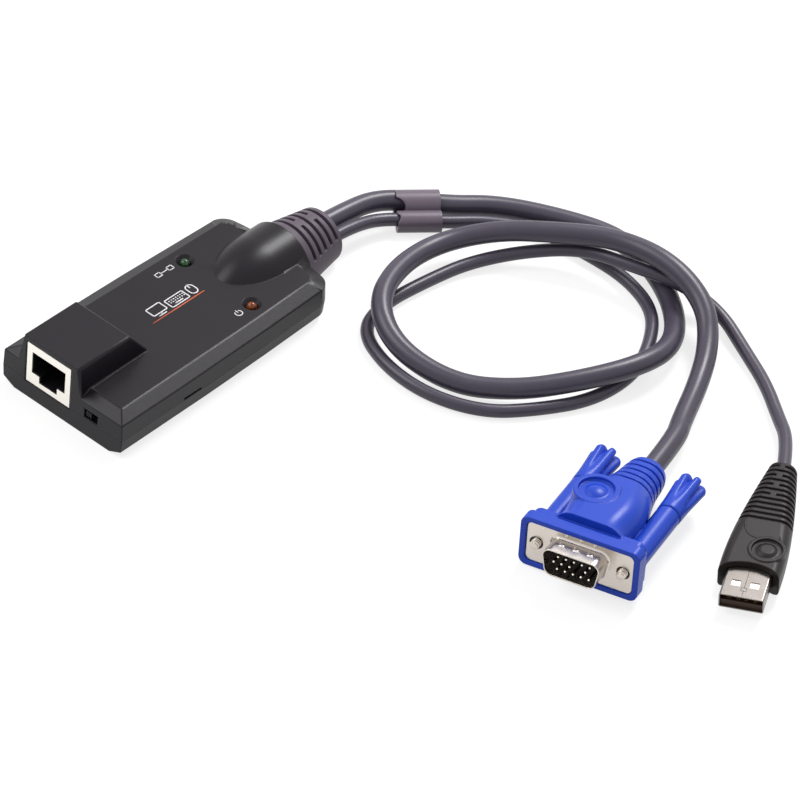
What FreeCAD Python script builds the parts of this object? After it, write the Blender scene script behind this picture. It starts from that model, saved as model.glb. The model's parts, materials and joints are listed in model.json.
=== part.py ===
import FreeCAD, Part
import math
import os
import re
import Sketcher
from FreeCAD import Placement, Rotation, Vector

# Adapter cable for a rack console switch: a two-shell plastic housing with a network jack,
# and two cables that leave it together and end in a video plug and a USB plug.
# Millimetres, +Z up. The origin is under the middle of the housing with its strain relief:
# the jack looks along -Y and the cables leave along +Y.

os.makedirs("parts", exist_ok=True)
doc = FreeCAD.newDocument("adapter")
dims = doc.addObject("Spreadsheet::Sheet", "dims")

SIZES = {
    # housing, both shells
    "housing_length": 87.0,
    "housing_width": 44.2,
    "widest_at": 12.5,
    "side_radius": 1800.0,
    "rear_radius": 100.0,
    "corner_radius": 5.2,
    "plateau_corner": 4.0,
    "seam_height": 6.1,
    "rim_height": 11.2,
    "plateau_height": 13.0,
    "side_draft": 0.25,
    "plateau_inset": 3.8,
    "bottom_inset": 4.4,
    "bottom_bevel": 2.0,
    "wall": 1.6,
    "lip_height": 1.2,
    "lip_thickness": 0.8,
    "fit_gap": 0.05,
    "cut_room": 30.0,
    "notch_start": 24.3,
    "notch_length": 6.9,
    "notch_height": 0.7,
    # raised hump over the network jack
    "hump_top": 20.9,
    "hump_left": 14.8,
    "hump_right": 5.5,
    "hump_length": 19.8,
    "hump_left_spread": 2.1,
    "hump_right_spread": 1.1,
    "hump_rear_spread": 8.4,
    "hump_base": 11.0,
    "hump_wall": 1.1,
    "hump_edge": 0.8,
    # half-round hood over the cable exit
    "hood_radius": 11.8,
    "hood_tip_radius": 6.9,
    "hood_start": 61.8,
    "hood_straight": 77.5,
    "hood_wall": 1.5,
    # circuit board and what stands on it
    "board_thickness": 1.6,
    "board_top": 5.4,
    "board_width": 36.0,
    "board_start": 3.0,
    "board_length": 69.0,
    "capacitor_radius": 2.5,
    "capacitor_height": 5.4,
    "capacitor_across": 12.0,
    "capacitor_first": 24.0,
    "capacitor_pitch": 7.0,
    "post_radius": 2.3,
    "post_pin_radius": 1.2,
    "post_spacing_across": 30.4,
    "post_first": 8.0,
    "post_spacing_along": 58.0,
    # network jack
    "jack_centre": -5.55,
    "jack_width": 16.0,
    "jack_height": 13.4,
    "jack_depth": 18.0,
    "jack_sheet": 0.3,
    "jack_setback": 0.2,
    "jack_gap": 0.25,
    "mouth_width": 11.8,
    "mouth_height": 6.8,
    "mouth_top_wall": 2.7,
    "mouth_depth": 13.0,
    "latch_width": 6.2,
    "latch_height": 2.2,
    "contact_pitch": 1.02,
    "contact_thickness": 0.35,
    # lamps
    "lamp_spacing": 25.0,
    "lamp_along": 61.0,
    "lamp_radius": 1.5,
    "lamp_length": 5.2,
    "lamp_flange": 1.95,
    "lamp_flange_thickness": 1.0,
    "lamp_gap": 0.15,
    "lamp_proud": 0.3,
    "dish_radius": 2.7,
    "dish_depth": 1.1,
    # recovery slide switch beside the jack
    "switch_centre": 10.6,
    "slot_width": 4.9,
    "slot_height": 2.8,
    "slot_above_seam": 0.1,
    "switch_length": 8.6,
    "switch_height": 3.6,
    "switch_depth": 4.0,
    "switch_sheet": 0.25,
    "knob_width": 1.9,
    "knob_height": 1.7,
    "knob_length": 2.6,
    "knob_travel": 2.0,
    # strain relief
    "relief_length": 16.7,
    "relief_base_radius": 10.9,
    "relief_end_radius": 8.3,
    "relief_floor": 0.6,
    "relief_neck_radius": 9.4,
    "relief_flange_radius": 10.1,
    "relief_flange": 1.6,
    "groove_first": 3.6,
    "groove_pitch": 2.75,
    "groove_width": 1.15,
    "groove_depth": 1.5,
    "groove_bridge": 2.8,
    "groove_low": 1.6,
    "groove_high": 9.6,
    # cables
    "video_diameter": 6.0,
    "usb_diameter": 3.8,
    "video_exit_across": -1.8,
    "video_exit_height": 7.0,
    "usb_exit_across": 3.8,
    "usb_exit_height": 6.8,
    # clip that holds the cables together
    "clip_across": 10.8,
    "clip_along": 81.4,
    "clip_heading": 48.0,
    "clip_length": 12.6,
    "clip_wall": 1.25,
    "clip_spread": 6.3,
    "clip_clearance": 0.1,
    # video plug
    "vga_across": 137.3,
    "vga_along": -0.35,
    "vga_height": 9.1,
    "vga_heading": -76.4,
    "vga_pitch": 3.5,
    "vga_roll": 4.0,
    "plate_width": 30.81,
    "plate_height": 12.55,
    "plate_thickness": 1.0,
    "screw_spacing": 24.99,
    "plate_hole_radius": 1.6,
    "shroud_length": 5.9,
    "shroud_width": 16.92,
    "shroud_height": 8.36,
    "shroud_wall": 0.4,
    "shroud_corner": 2.4,
    "shroud_slant": 10.0,
    "pin_pitch": 2.29,
    "pin_rows": 1.98,
    "pin_radius": 0.38,
    "pin_reach": 5.1,
    "pin_root": 3.5,
    "insulator_depth": 4.0,
    "insulator_proud": 0.6,
    "plate_corner": 1.6,
    "collar_width": 34.4,
    "collar_height": 15.6,
    "collar_depth": 2.2,
    "collar_lip": 0.6,
    "step_inset": 0.9,
    "step_depth": 3.0,
    "collar_corner": 2.4,
    "step_corner": 2.6,
    "grip_length": 42.5,
    "grip_front_width": 20.5,
    "grip_front_height": 16.4,
    "grip_front_lift": 1.3,
    "grip_mid_width": 18.8,
    "grip_mid_height": 15.4,
    "grip_mid_lift": 1.2,
    "grip_mid_at": 22.0,
    "grip_neck_width": 15.4,
    "grip_neck_height": 14.0,
    "grip_neck_lift": 0.8,
    "grip_neck_at": 28.2,
    "grip_end_width": 10.6,
    "grip_end_height": 10.2,
    "grip_front_corner": 5.5,
    "grip_mid_corner": 6.0,
    "grip_neck_corner": 6.2,
    "grip_end_corner": 4.9,
    "ring_pitch": 2.9,
    "ring_width": 0.7,
    "ring_depth": 0.9,
    "boss_radius": 6.4,
    "boss_dish": 4.9,
    "boss_dome": 3.1,
    "boss_at": 18.0,
    "boss_across": -4.3,
    "boss_lift": 0.6,
    "boss_root": 2.0,
    "dish_sink": 0.5,
    "dome_rise": 1.0,
    "barrel_radius": 3.45,
    "barrel_length": 28.0,
    # thumbscrews of the video plug
    "screw_radius": 1.42,
    "screw_clearance": 0.05,
    "screw_proud": 1.8,
    "screw_neck_radius": 1.2,
    "screw_neck_length": 5.0,
    "screw_thread_start": 0.25,
    "thumb_length": 15.6,
    "thumb_bore": 6.0,
    "thumb_gap": 0.25,
    "thumb_base_radius": 3.5,
    "thumb_tip_radius": 4.7,
    "thumb_flute_radius": 1.05,
    # USB plug
    "usb_across": 175.1,
    "usb_along": 21.0,
    "usb_height": 4.7,
    "usb_heading": -63.9,
    "usb_pitch": 0.0,
    "usb_roll": 5.0,
    "usb_shell_width": 12.0,
    "usb_shell_height": 4.5,
    "usb_shell_sheet": 0.3,
    "usb_shell_corner": 0.6,
    "usb_shell_length": 18.0,
    "usb_shell_out": 11.8,
    "usb_window": 2.3,
    "usb_window_at": 5.2,
    "usb_window_spread": 5.0,
    "usb_tongue_height": 1.85,
    "usb_grip_length": 42.2,
    "usb_ear": 3.0,
    "usb_front_width": 16.4,
    "usb_grip_height": 8.5,
    "usb_mid_width": 15.0,
    "usb_mid_at": 18.0,
    "usb_waist_width": 11.6,
    "usb_waist_at": 31.0,
    "usb_end_width": 7.8,
    "usb_end_height": 7.4,
    "usb_front_corner": 2.4,
    "usb_mid_corner": 3.4,
    "usb_waist_corner": 3.9,
    "usb_end_corner": 3.4,
    "usb_ring_first": 17.5,
    "usb_ring_pitch": 2.05,
    "usb_ring_width": 0.85,
    "usb_ring_depth": 0.7,
    "usb_ring_bridge": 1.6,
    "usb_boss_radius": 5.0,
    "usb_boss_dish": 4.1,
    "usb_boss_dome": 2.9,
    "usb_boss_lift": 0.25,
    "usb_boss_at": 5.9,
    "usb_boss_across": 3.0,
    "usb_split_from": 5,
}

for row, (alias, value) in enumerate(SIZES.items(), 1):
    dims.set(f"A{row}", alias.replace("_", " "))
    dims.set(f"B{row}", str(value))
    dims.setAlias(f"B{row}", alias)
doc.recompute()

# ---------------------------------------------------------------- helpers


def bound(text):
    """An expression in which each size's name points at its cell."""
    return re.sub(r"[a-z][a-z_]*", lambda word: "dims." + word[0] if word[0] in SIZES else word[0], str(text))


def number(text):
    """What such an expression comes to now."""
    return float(dims.evalExpression(bound(text)))


def bind(item, **properties):
    for name, text in properties.items():
        item.setExpression(name, bound(text))
    return item


def move(item, x="0", y="0", z="0", rotation=None):
    """Places an item, its position bound to the sheet."""
    item.Placement = Placement(Vector(), rotation or Rotation())
    for axis, text in zip("xyz", (x, y, z)):
        item.setExpression("Placement.Base." + axis, bound(text))
    return item


def add(kind, name):
    return doc.addObject(kind, name)


def box(name, x, y, z):
    """A box between pairs of bounds."""
    item = bind(add("Part::Box", name), Length=f"{x[1]} - ({x[0]})", Width=f"{y[1]} - ({y[0]})",
                Height=f"{z[1]} - ({z[0]})")
    return move(item, x[0], y[0], z[0])


AXIS_TURN = {
    "z": Rotation(),
    "x": Rotation(Vector(0, 1, 0), 90),
    "y": Rotation(Vector(1, 0, 0), -90),
}


def rod(name, axis, radius, length, x="0", y="0", z="0"):
    """A cylinder that runs from a point along +X, +Y or +Z."""
    item = bind(add("Part::Cylinder", name), Radius=radius, Height=length)
    return move(item, x, y, z, AXIS_TURN[axis])


def taper(name, axis, first, last, length, x="0", y="0", z="0"):
    """A cone from a first radius to a last one along +X, +Y or +Z."""
    item = bind(add("Part::Cone", name), Radius1=first, Radius2=last, Height=length)
    return move(item, x, y, z, AXIS_TURN[axis])


def ball(name, radius, x="0", y="0", z="0"):
    return move(bind(add("Part::Sphere", name), Radius=radius), x, y, z)


def fuse(name, *items):
    item = add("Part::MultiFuse", name)
    item.Shapes = list(items)
    return item


def cut(name, base, *tools):
    item = add("Part::Cut", name)
    item.Base = base
    item.Tool = tools[0] if len(tools) == 1 else fuse(name + "_tools", *tools)
    return item


def common(name, first, second):
    item = add("Part::MultiCommon", name)
    item.Shapes = [first, second]
    return item


def group(name, *items):
    """Separate solids kept together in one node."""
    item = add("Part::Compound", name)
    item.Links = list(items)
    return item


def rounded(name, base, radius, wanted):
    """A fillet on the edges of a shape for which a test holds."""
    doc.recompute()
    item = add("Part::Fillet", name)
    item.Base = base
    size = number(radius)
    item.Edges = [(place, size, size) for place, edge in enumerate(base.Shape.Edges, 1) if wanted(edge)]
    return item


def along(edge, axis):
    """Whether a straight edge runs along X, Y or Z."""
    spread = edge.BoundBox
    lengths = {"x": spread.XLength, "y": spread.YLength, "z": spread.ZLength}
    return lengths[axis] > 1e-6 and sum(lengths.values()) - lengths[axis] < 1e-6


def sketch_on(body, name, plane, **offset):
    """A sketch on one of a body's own planes, shifted by bound offsets."""
    sketch = body.newObject("Sketcher::SketchObject", name)
    base = next(item for item in body.Origin.OriginFeatures if item.Role == plane)
    sketch.AttachmentSupport = [(base, "")]
    sketch.MapMode = "FlatFace"
    for axis, text in offset.items():
        sketch.setExpression("AttachmentOffset.Base." + axis, bound(text))
    return sketch


def hold(sketch, kind, *where, size):
    """A dimension of a sketch, bound to the sheet."""
    index = sketch.addConstraint(Sketcher.Constraint(kind, *where, number(size)))
    sketch.setExpression(f"Constraints[{index}]", bound(size))


def join(sketch, *rules):
    for rule in rules:
        sketch.addConstraint(Sketcher.Constraint(*rule))


START, END, CENTRE = 1, 2, 3
ORIGIN, X_AXIS, Y_AXIS = -1, -1, -2


def arc_between(centre, radius, first, last):
    """An anticlockwise arc of a circle between two points on it."""
    angles = [math.atan2(point.y - centre.y, point.x - centre.x) for point in (first, last)]
    return Part.ArcOfCircle(Part.Circle(centre, Vector(0, 0, 1), radius), *angles)


def tangent_corner(side_centre, side_radius, rear_centre, rear_radius, corner):
    """Where a corner arc's centre lies, inside both a side arc and the rear arc."""
    a, b = side_radius - corner, rear_radius - corner
    line = rear_centre - side_centre
    reach = line.Length
    along_line = (a * a - b * b + reach * reach) / (2 * reach)
    aside = math.sqrt(a * a - along_line * along_line)
    unit = Vector(line).normalize()
    return side_centre + unit * along_line + Vector(-unit.y, unit.x, 0) * aside


# ---------------------------------------------------------------- housing shapes

HOUSING_Y = "-(housing_length + relief_length) / 2"


def in_housing(item):
    """Moves a finished piece from the housing's own frame, whose front is at zero, to its place."""
    return move(item, y=HOUSING_Y)


def housing_box(name, x, y, z):
    """A box that is a node by itself, between bounds in the housing's own frame."""
    return box(name, x, [f"{edge} + {HOUSING_Y}" for edge in y], z)


def housing_outline(body, name, height, inset, front_inset, corner):
    """The bowed plan outline, drawn in by an inset: straight front, arched sides and rear."""
    sketch = sketch_on(body, name, "XY_Plane", z=height)
    side_size, rear_size = f"side_radius - ({inset})", f"rear_radius - ({inset})"
    side_x = "housing_width / 2 - side_radius"
    side_radius, rear_radius, radius = number(side_size), number(rear_size), number(corner)
    side = Vector(number(side_x), number("widest_at"), 0)
    rear = Vector(0, number("housing_length - rear_radius"), 0)
    centre = tangent_corner(side, side_radius, rear, rear_radius, radius)
    front_y = number(front_inset)
    front = Vector(side.x + math.sqrt(side_radius ** 2 - (front_y - side.y) ** 2), front_y, 0)
    turn = side + (centre - side).normalize() * side_radius
    back = rear + (centre - rear).normalize() * rear_radius

    def mirrored(point):
        return Vector(-point.x, point.y, 0)

    sketch.addGeometry([
        Part.LineSegment(mirrored(front), front),
        arc_between(side, side_radius, front, turn),
        arc_between(centre, radius, turn, back),
        arc_between(rear, rear_radius, back, mirrored(back)),
        arc_between(mirrored(centre), radius, mirrored(back), mirrored(turn)),
        arc_between(mirrored(side), side_radius, mirrored(turn), mirrored(front)),
    ])
    join(sketch, ("Coincident", 0, END, 1, START), ("Coincident", 5, END, 0, START), ("Horizontal", 0),
         *(("Tangent", first, END, first + 1, START) for first in (1, 2, 3, 4)),
         ("Equal", 2, 4), ("Equal", 1, 5), ("Symmetric", 1, CENTRE, 5, CENTRE, Y_AXIS),
         ("PointOnObject", 3, CENTRE, Y_AXIS))
    hold(sketch, "DistanceY", ORIGIN, START, 0, START, size=front_inset)
    hold(sketch, "Radius", 1, size=side_size)
    hold(sketch, "DistanceX", 1, CENTRE, ORIGIN, START, size=f"-({side_x})")
    hold(sketch, "DistanceY", ORIGIN, START, 1, CENTRE, size="widest_at")
    hold(sketch, "Radius", 3, size=rear_size)
    hold(sketch, "DistanceY", 3, CENTRE, ORIGIN, START, size="rear_radius - housing_length")
    hold(sketch, "Radius", 2, size=corner)
    return sketch


def housing_block(name, *levels):
    """A solid through plan outlines at several levels: height, inset, front inset, corner."""
    body = add("PartDesign::Body", name)
    outlines = [housing_outline(body, f"{name}_level_{count}", *level) for count, level in enumerate(levels)]
    loft = body.newObject("PartDesign::AdditiveLoft", name + "_loft")
    loft.Profile = outlines[0]
    loft.Sections = outlines[1:]
    loft.Ruled = True
    body.Tip = loft
    return body


def hump_block(name, wall, base, length_trim):
    """The raised block over the jack, or the space inside it, with leaning sides and rear."""
    item = bind(
        add("Part::Wedge", name),
        Xmin=f"-(hump_left + hump_left_spread) + ({wall})", Xmax=f"hump_right + hump_right_spread - ({wall})",
        X2min=f"-hump_left + ({wall})", X2max=f"hump_right - ({wall})",
        Ymin="0", Ymax=f"hump_top - ({wall}) - ({base})",
        Zmin=f"-(hump_length + hump_rear_spread) + ({wall})", Zmax=f"-({length_trim})",
        Z2min=f"-hump_length + ({wall})", Z2max=f"-({length_trim})",
    )
    return move(item, z=base, rotation=Rotation(Vector(1, 0, 0), 90))


def hood_barrel(name, wall, end):
    """The upper half of the barrel that swells out of the plateau towards the cable exit."""
    body = add("PartDesign::Body", name)
    sketch = sketch_on(body, name + "_profile", "YZ_Plane", y="seam_height")
    start, straight = f"hood_start + ({wall})", "hood_straight"
    tip, full = f"hood_tip_radius - ({wall})", f"hood_radius - ({wall})"
    x = [number(text) for text in (start, straight, end)]
    low, high = number(tip), number(full)
    nose = ((x[1] - x[0]) ** 2 + (high - low) ** 2) / (2 * (high - low))
    sketch.addGeometry([
        Part.LineSegment(Vector(x[0], 0, 0), Vector(x[0], low, 0)),
        arc_between(Vector(x[1], high - nose, 0), nose, Vector(x[1], high, 0), Vector(x[0], low, 0)),
        Part.LineSegment(Vector(x[1], high, 0), Vector(x[2], high, 0)),
        Part.LineSegment(Vector(x[2], high, 0), Vector(x[2], 0, 0)),
        Part.LineSegment(Vector(x[2], 0, 0), Vector(x[0], 0, 0)),
    ])
    join(sketch, ("Coincident", 0, END, 1, END), ("Tangent", 1, START, 2, START),
         ("Coincident", 2, END, 3, START), ("Coincident", 3, END, 4, START),
         ("Coincident", 4, END, 0, START), ("Vertical", 0), ("Horizontal", 2), ("Vertical", 3),
         ("Horizontal", 4), ("PointOnObject", 0, START, X_AXIS))
    hold(sketch, "DistanceX", ORIGIN, START, 0, START, size=start)
    hold(sketch, "DistanceX", ORIGIN, START, 2, START, size=straight)
    hold(sketch, "DistanceX", ORIGIN, START, 3, START, size=end)
    hold(sketch, "DistanceY", ORIGIN, START, 0, END, size=tip)
    hold(sketch, "DistanceY", ORIGIN, START, 2, START, size=full)
    barrel = body.newObject("PartDesign::Revolution", name + "_turned")
    barrel.Profile = sketch
    barrel.ReferenceAxis = (sketch, ["H_Axis"])
    barrel.Angle = 180
    barrel.Midplane = True
    body.Tip = barrel
    return body


def relief_section(name, radius, low, start, length):
    """A round bar along +Y about the seam, flat below a height."""
    bar = rod(name + "_round", "y", radius, length, y=start, z="seam_height")
    keep = box(name + "_keep", ("-cut_room", "cut_room"), (start, f"{start} + {length}"), (low, "cut_room"))
    return common(name, bar, keep)


def post_places():
    """The four places at which the board stands on the bottom case."""
    for side in (-1, 1):
        for count in (0, 1):
            yield f"{side} * post_spacing_across / 2", f"post_first + {count} * post_spacing_along"


def front_openings(name):
    """The jack's opening in the front wall, cut through both shells."""
    return box(name, ("jack_centre - jack_width / 2 - jack_gap", "jack_centre + jack_width / 2 + jack_gap"),
               ("-1", "wall + 2"), ("board_top - jack_gap", "board_top + jack_height + jack_gap"))


def top_cover():
    draft = "side_draft"
    outer = housing_block(
        "cover_outer",
        ("seam_height", "0", "0", "corner_radius"),
        ("rim_height", draft, "0", "corner_radius"),
        ("plateau_height", "side_draft + plateau_inset", "plateau_inset", "plateau_corner"),
    )
    inner = housing_block(
        "cover_inner",
        ("seam_height - 1", "wall", "wall", "corner_radius - wall"),
        ("rim_height - 0.6", "side_draft + wall", "wall", "corner_radius - wall"),
        ("plateau_height - wall", "side_draft + plateau_inset + wall * 0.4", "plateau_inset + wall * 0.4",
         "plateau_corner - wall / 2"),
    )
    rebate = housing_block(
        "cover_rebate",
        ("seam_height - 1", "lip_thickness - fit_gap", "lip_thickness - fit_gap",
         "corner_radius - lip_thickness"),
        ("seam_height + lip_height + fit_gap", "lip_thickness - fit_gap", "lip_thickness - fit_gap",
         "corner_radius - lip_thickness"),
    )
    hump = hump_block("hump_outer", "0", "hump_base", "0")
    top = number("hump_top") - 1e-6
    hump = rounded("hump_soft", hump, "hump_edge",
                   lambda edge: edge.BoundBox.ZMax > top and (not along(edge, "x") or edge.BoundBox.YMin > 1))
    hood = hood_barrel("hood_outer", "0", "housing_length")
    solid = fuse("cover_solid", outer, hump, hood)
    hump_space = hump_block("hump_space", "hump_wall", "hump_base", "wall")
    hood_space = hood_barrel("hood_space", "hood_wall", "housing_length - wall")
    mouth = relief_section("cover_cable_mouth", "relief_neck_radius + fit_gap", "seam_height - 1",
                           "housing_length - wall - 1", "wall + 3")
    slot = box("cover_switch_slot", ("switch_centre - slot_width / 2", "switch_centre + slot_width / 2"),
               ("-1", "wall + 1"),
               ("seam_height + slot_above_seam", "seam_height + slot_above_seam + slot_height"))
    notch = box("cover_pry_notch", ("housing_width / 2 - lip_thickness * 0.7", "housing_width / 2 + 2"),
                ("notch_start", "notch_start + notch_length"),
                ("seam_height - 1", "seam_height + notch_height"))
    holes = []
    for side, count in ((-1, 0), (1, 1)):
        across = f"{side} * lamp_spacing / 2"
        holes.append(rod(f"lamp_hole_{count}", "z", "lamp_radius + lamp_gap", "6", across, "lamp_along",
                         "plateau_height - 4"))
        holes.append(taper(f"lamp_dish_{count}", "z", "lamp_radius + lamp_gap", "dish_radius + 0.6",
                           "dish_depth * 1.5", across, "lamp_along", "plateau_height - dish_depth"))
    opening = front_openings("cover_jack_opening")
    tools = [inner, rebate, hump_space, hood_space, mouth, slot, notch, opening, *holes]
    return in_housing(cut("top_cover", solid, *tools))


def bottom_case():
    outer = housing_block(
        "case_outer",
        ("0", "bottom_inset", "0", "plateau_corner"),
        ("bottom_bevel", "side_draft", "0", "corner_radius"),
        ("seam_height", "0", "0", "corner_radius"),
    )
    inner = housing_block(
        "case_inner",
        ("wall", "bottom_inset + wall * 0.6", "wall", "plateau_corner - wall / 2"),
        ("bottom_bevel + wall * 0.6", "side_draft + wall", "wall", "corner_radius - wall"),
        ("seam_height + lip_height + 1", "wall", "wall", "corner_radius - wall"),
    )
    lip = housing_block(
        "case_lip",
        ("seam_height - 1", "lip_thickness", "lip_thickness", "corner_radius - lip_thickness"),
        ("seam_height + lip_height", "lip_thickness", "lip_thickness", "corner_radius - lip_thickness"),
    )
    posts = []
    pins = []
    for count, (across, way) in enumerate(post_places()):
        posts.append(rod(f"board_post_{count}", "z", "post_radius", "board_top - board_thickness - wall / 2",
                         across, way, "wall / 2"))
        pins.append(rod(f"board_pin_{count}", "z", "post_pin_radius", "board_top + 0.4 - wall / 2",
                        across, way, "wall / 2"))
    tray = cut("case_tray", fuse("case_solid", outer, lip), inner)
    mouth = relief_section("case_cable_mouth", "relief_neck_radius + fit_gap", "wall + 0.4",
                           "housing_length - wall - 1", "wall + 3")
    flange_room = relief_section("case_flange_room", "relief_flange_radius + fit_gap", "wall + 0.5",
                                 "housing_length - wall - 4", "4")
    slot = box("case_switch_slot", ("switch_centre - switch_length / 2 - 0.3",
                                    "switch_centre + switch_length / 2 + 0.3"),
               ("lip_thickness - fit_gap", "wall + 1"), ("seam_height", "seam_height + lip_height + 1"))
    trimmed = cut("case_trimmed", tray, mouth, flange_room, slot, front_openings("case_jack_opening"))
    return in_housing(fuse("bottom_case", trimmed, *posts, *pins))


def circuit_board():
    board = box("board_blank", ("-board_width / 2", "board_width / 2"),
                ("board_start", "board_start + board_length"),
                ("board_top - board_thickness", "board_top"))
    holes = [rod(f"board_hole_{count}", "z", "post_pin_radius + fit_gap", "board_thickness + 2", across, way,
                 "board_top - board_thickness - 1") for count, (across, way) in enumerate(post_places())]
    return in_housing(cut("circuit_board", board, *holes))


# ---------------------------------------------------------------- network jack

JACK_LEFT = "jack_centre - jack_width / 2"
JACK_RIGHT = "jack_centre + jack_width / 2"
JACK_TOP = "board_top + jack_height"
JACK_REAR = "jack_setback + jack_depth"
MOUTH_TOP = "board_top + jack_height - mouth_top_wall"


def mouth_tools(name, grow, start, end):
    """The plug's space in the jack: a wide upper part, and a narrow slot for the latch below."""
    wide = box(name + "_wide", (f"jack_centre - mouth_width / 2 - ({grow})",
                                f"jack_centre + mouth_width / 2 + ({grow})"),
               (start, end), (f"{MOUTH_TOP} - mouth_height - ({grow})", f"{MOUTH_TOP} + ({grow})"))
    narrow = box(name + "_latch",
                 (f"jack_centre - latch_width / 2 - ({grow})", f"jack_centre + latch_width / 2 + ({grow})"),
                 (start, end), (f"{MOUTH_TOP} - mouth_height - latch_height - ({grow})", f"{MOUTH_TOP} - 1"))
    return fuse(name, wide, narrow)


def jack_shield():
    outer = box("shield_outer", (JACK_LEFT, JACK_RIGHT), ("jack_setback", JACK_REAR), ("board_top", JACK_TOP))
    inner = box("shield_space", (f"{JACK_LEFT} + jack_sheet", f"{JACK_RIGHT} - jack_sheet"),
                ("jack_setback + jack_sheet", f"{JACK_REAR} - jack_sheet"),
                ("board_top - 1", f"{JACK_TOP} - jack_sheet"))
    window = mouth_tools("shield_window", "0.2", "jack_setback - 1", "jack_setback + 1")
    return in_housing(cut("jack_shield", outer, inner, window))


def jack_insert():
    gap = "jack_sheet + fit_gap"
    block = box("insert_block", (f"{JACK_LEFT} + {gap}", f"{JACK_RIGHT} - ({gap})"),
                (f"jack_setback + {gap}", f"{JACK_REAR} - ({gap})"), ("board_top", f"{JACK_TOP} - ({gap})"))
    mouth = mouth_tools("insert_mouth", "0", "jack_setback - 1", "jack_setback + mouth_depth")
    return in_housing(cut("jack_insert", block, mouth))


def jack_contacts():
    """Eight spring wires that lie on the roof of the mouth and slope down towards its back."""
    wires = []
    slope = Rotation(Vector(1, 0, 0), -15)
    for count in range(8):
        across = f"jack_centre + ({count} - 3.5) * contact_pitch"
        left, right = f"{across} - contact_thickness / 2", f"{across} + contact_thickness / 2"
        flat = box(f"contact_flat_{count}", (left, right), ("jack_setback + 1.2", "jack_setback + 3"),
                   (f"{MOUTH_TOP} - contact_thickness", MOUTH_TOP))
        slant = bind(add("Part::Box", f"contact_slant_{count}"), Length="contact_thickness", Width="6.5",
                     Height="contact_thickness")
        move(slant, left, "jack_setback + 2.9", f"{MOUTH_TOP} - contact_thickness", slope)
        wires.append(fuse(f"contact_{count}", flat, slant))
    return in_housing(group("jack_contacts", *wires))


# ---------------------------------------------------------------- lamps

LAMP_FOOT = "plateau_height + lamp_proud - lamp_length"


def lamp(name, side):
    across = f"{side} * lamp_spacing / 2"
    stem = rod(name + "_stem", "z", "lamp_radius", "lamp_length - lamp_radius", across, "lamp_along",
               LAMP_FOOT)
    dome = ball(name + "_dome", "lamp_radius", across, "lamp_along",
                "plateau_height + lamp_proud - lamp_radius")
    flange = rod(name + "_flange", "z", "lamp_flange", "lamp_flange_thickness", across, "lamp_along",
                 LAMP_FOOT)
    return in_housing(fuse(name, stem, dome, flange))


def lamp_spacers():
    """The two tubes that hold the lamps off the board, one solid each."""
    tubes = [rod(f"spacer_{side}", "z", "lamp_flange", f"{LAMP_FOOT} - board_top",
                 f"{side} * lamp_spacing / 2",
                 "lamp_along", "board_top") for side in (-1, 1)]
    return in_housing(group("lamp_spacers", *tubes))


# ---------------------------------------------------------------- recovery slide switch

SLOT_MIDDLE = "seam_height + slot_above_seam + slot_height / 2"
SWITCH_FRONT = "wall + fit_gap"


def switch_across(half, centre="switch_centre"):
    return f"{centre} - ({half})", f"{centre} + ({half})"


def switch_frame():
    """The folded metal cap of the switch, with the slot that its knob runs in."""
    top = "board_top + switch_height"
    outer = box("frame_outer", switch_across("switch_length / 2"),
                (SWITCH_FRONT, f"{SWITCH_FRONT} + switch_depth"),
                ("board_top", top))
    inner = box("frame_space", switch_across(f"switch_length / 2 - switch_sheet"),
                (f"{SWITCH_FRONT} + switch_sheet", f"{SWITCH_FRONT} + switch_depth + 1"),
                ("board_top - 1", f"{top} - switch_sheet"))
    slot = box("frame_slot", switch_across("knob_width / 2 + knob_travel / 2 + 0.15"), ("0", "wall + 1"),
               (f"{SLOT_MIDDLE} - knob_height / 2 - 0.1", f"{SLOT_MIDDLE} + knob_height / 2 + 0.1"))
    return in_housing(cut("switch_frame", outer, inner, slot))


def switch_base():
    return housing_box("switch_base", switch_across(f"switch_length / 2 - switch_sheet - fit_gap"),
                       (f"{SWITCH_FRONT} + 1.7", f"{SWITCH_FRONT} + switch_depth"),
                       ("board_top", f"board_top + switch_height - switch_sheet - fit_gap"))


def switch_knob():
    """The knob at the left end of its travel: a stem through the slot and a wider slider behind it."""
    centre = "switch_centre - knob_travel / 2"
    stem = box("knob_stem", switch_across("knob_width / 2", centre),
               (f"{SWITCH_FRONT} + 1.6 - knob_length", f"{SWITCH_FRONT} + 1.5"),
               (f"{SLOT_MIDDLE} - knob_height / 2", f"{SLOT_MIDDLE} + knob_height / 2"))
    slider = box("knob_slider", switch_across("knob_width / 2 + 0.6", centre),
                 (f"{SWITCH_FRONT} + switch_sheet + 0.1", f"{SWITCH_FRONT} + 1.6"),
                 (f"{SLOT_MIDDLE} - knob_height / 2 - 0.25", f"{SLOT_MIDDLE} + knob_height / 2 - 0.05"))
    return in_housing(fuse("switch_knob", stem, slider))


# ---------------------------------------------------------------- parts on the board


def board_part(name, x, y, height):
    return housing_box(name, x, y, ("board_top", f"board_top + {height}"))


def board_capacitors():
    cans = [rod(f"capacitor_{count}", "z", "capacitor_radius", "capacitor_height", "capacitor_across",
                f"capacitor_first + {count} * capacitor_pitch", "board_top") for count in (0, 1)]
    return in_housing(group("board_capacitors", *cans))


BOARD_END = "board_start + board_length"
HEADER_FRONT = "board_start + board_length - 8"


def cable_lead(name, diameter, across, height):
    """The end of a cable's jacket between its header and the strain relief's flange."""
    return rod(name, "y", f"{diameter} / 2",
               f"housing_length - wall - relief_flange - fit_gap - ({BOARD_END})",
               across, f"{BOARD_END} + {HOUSING_Y}", height)


# ---------------------------------------------------------------- strain relief


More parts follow.
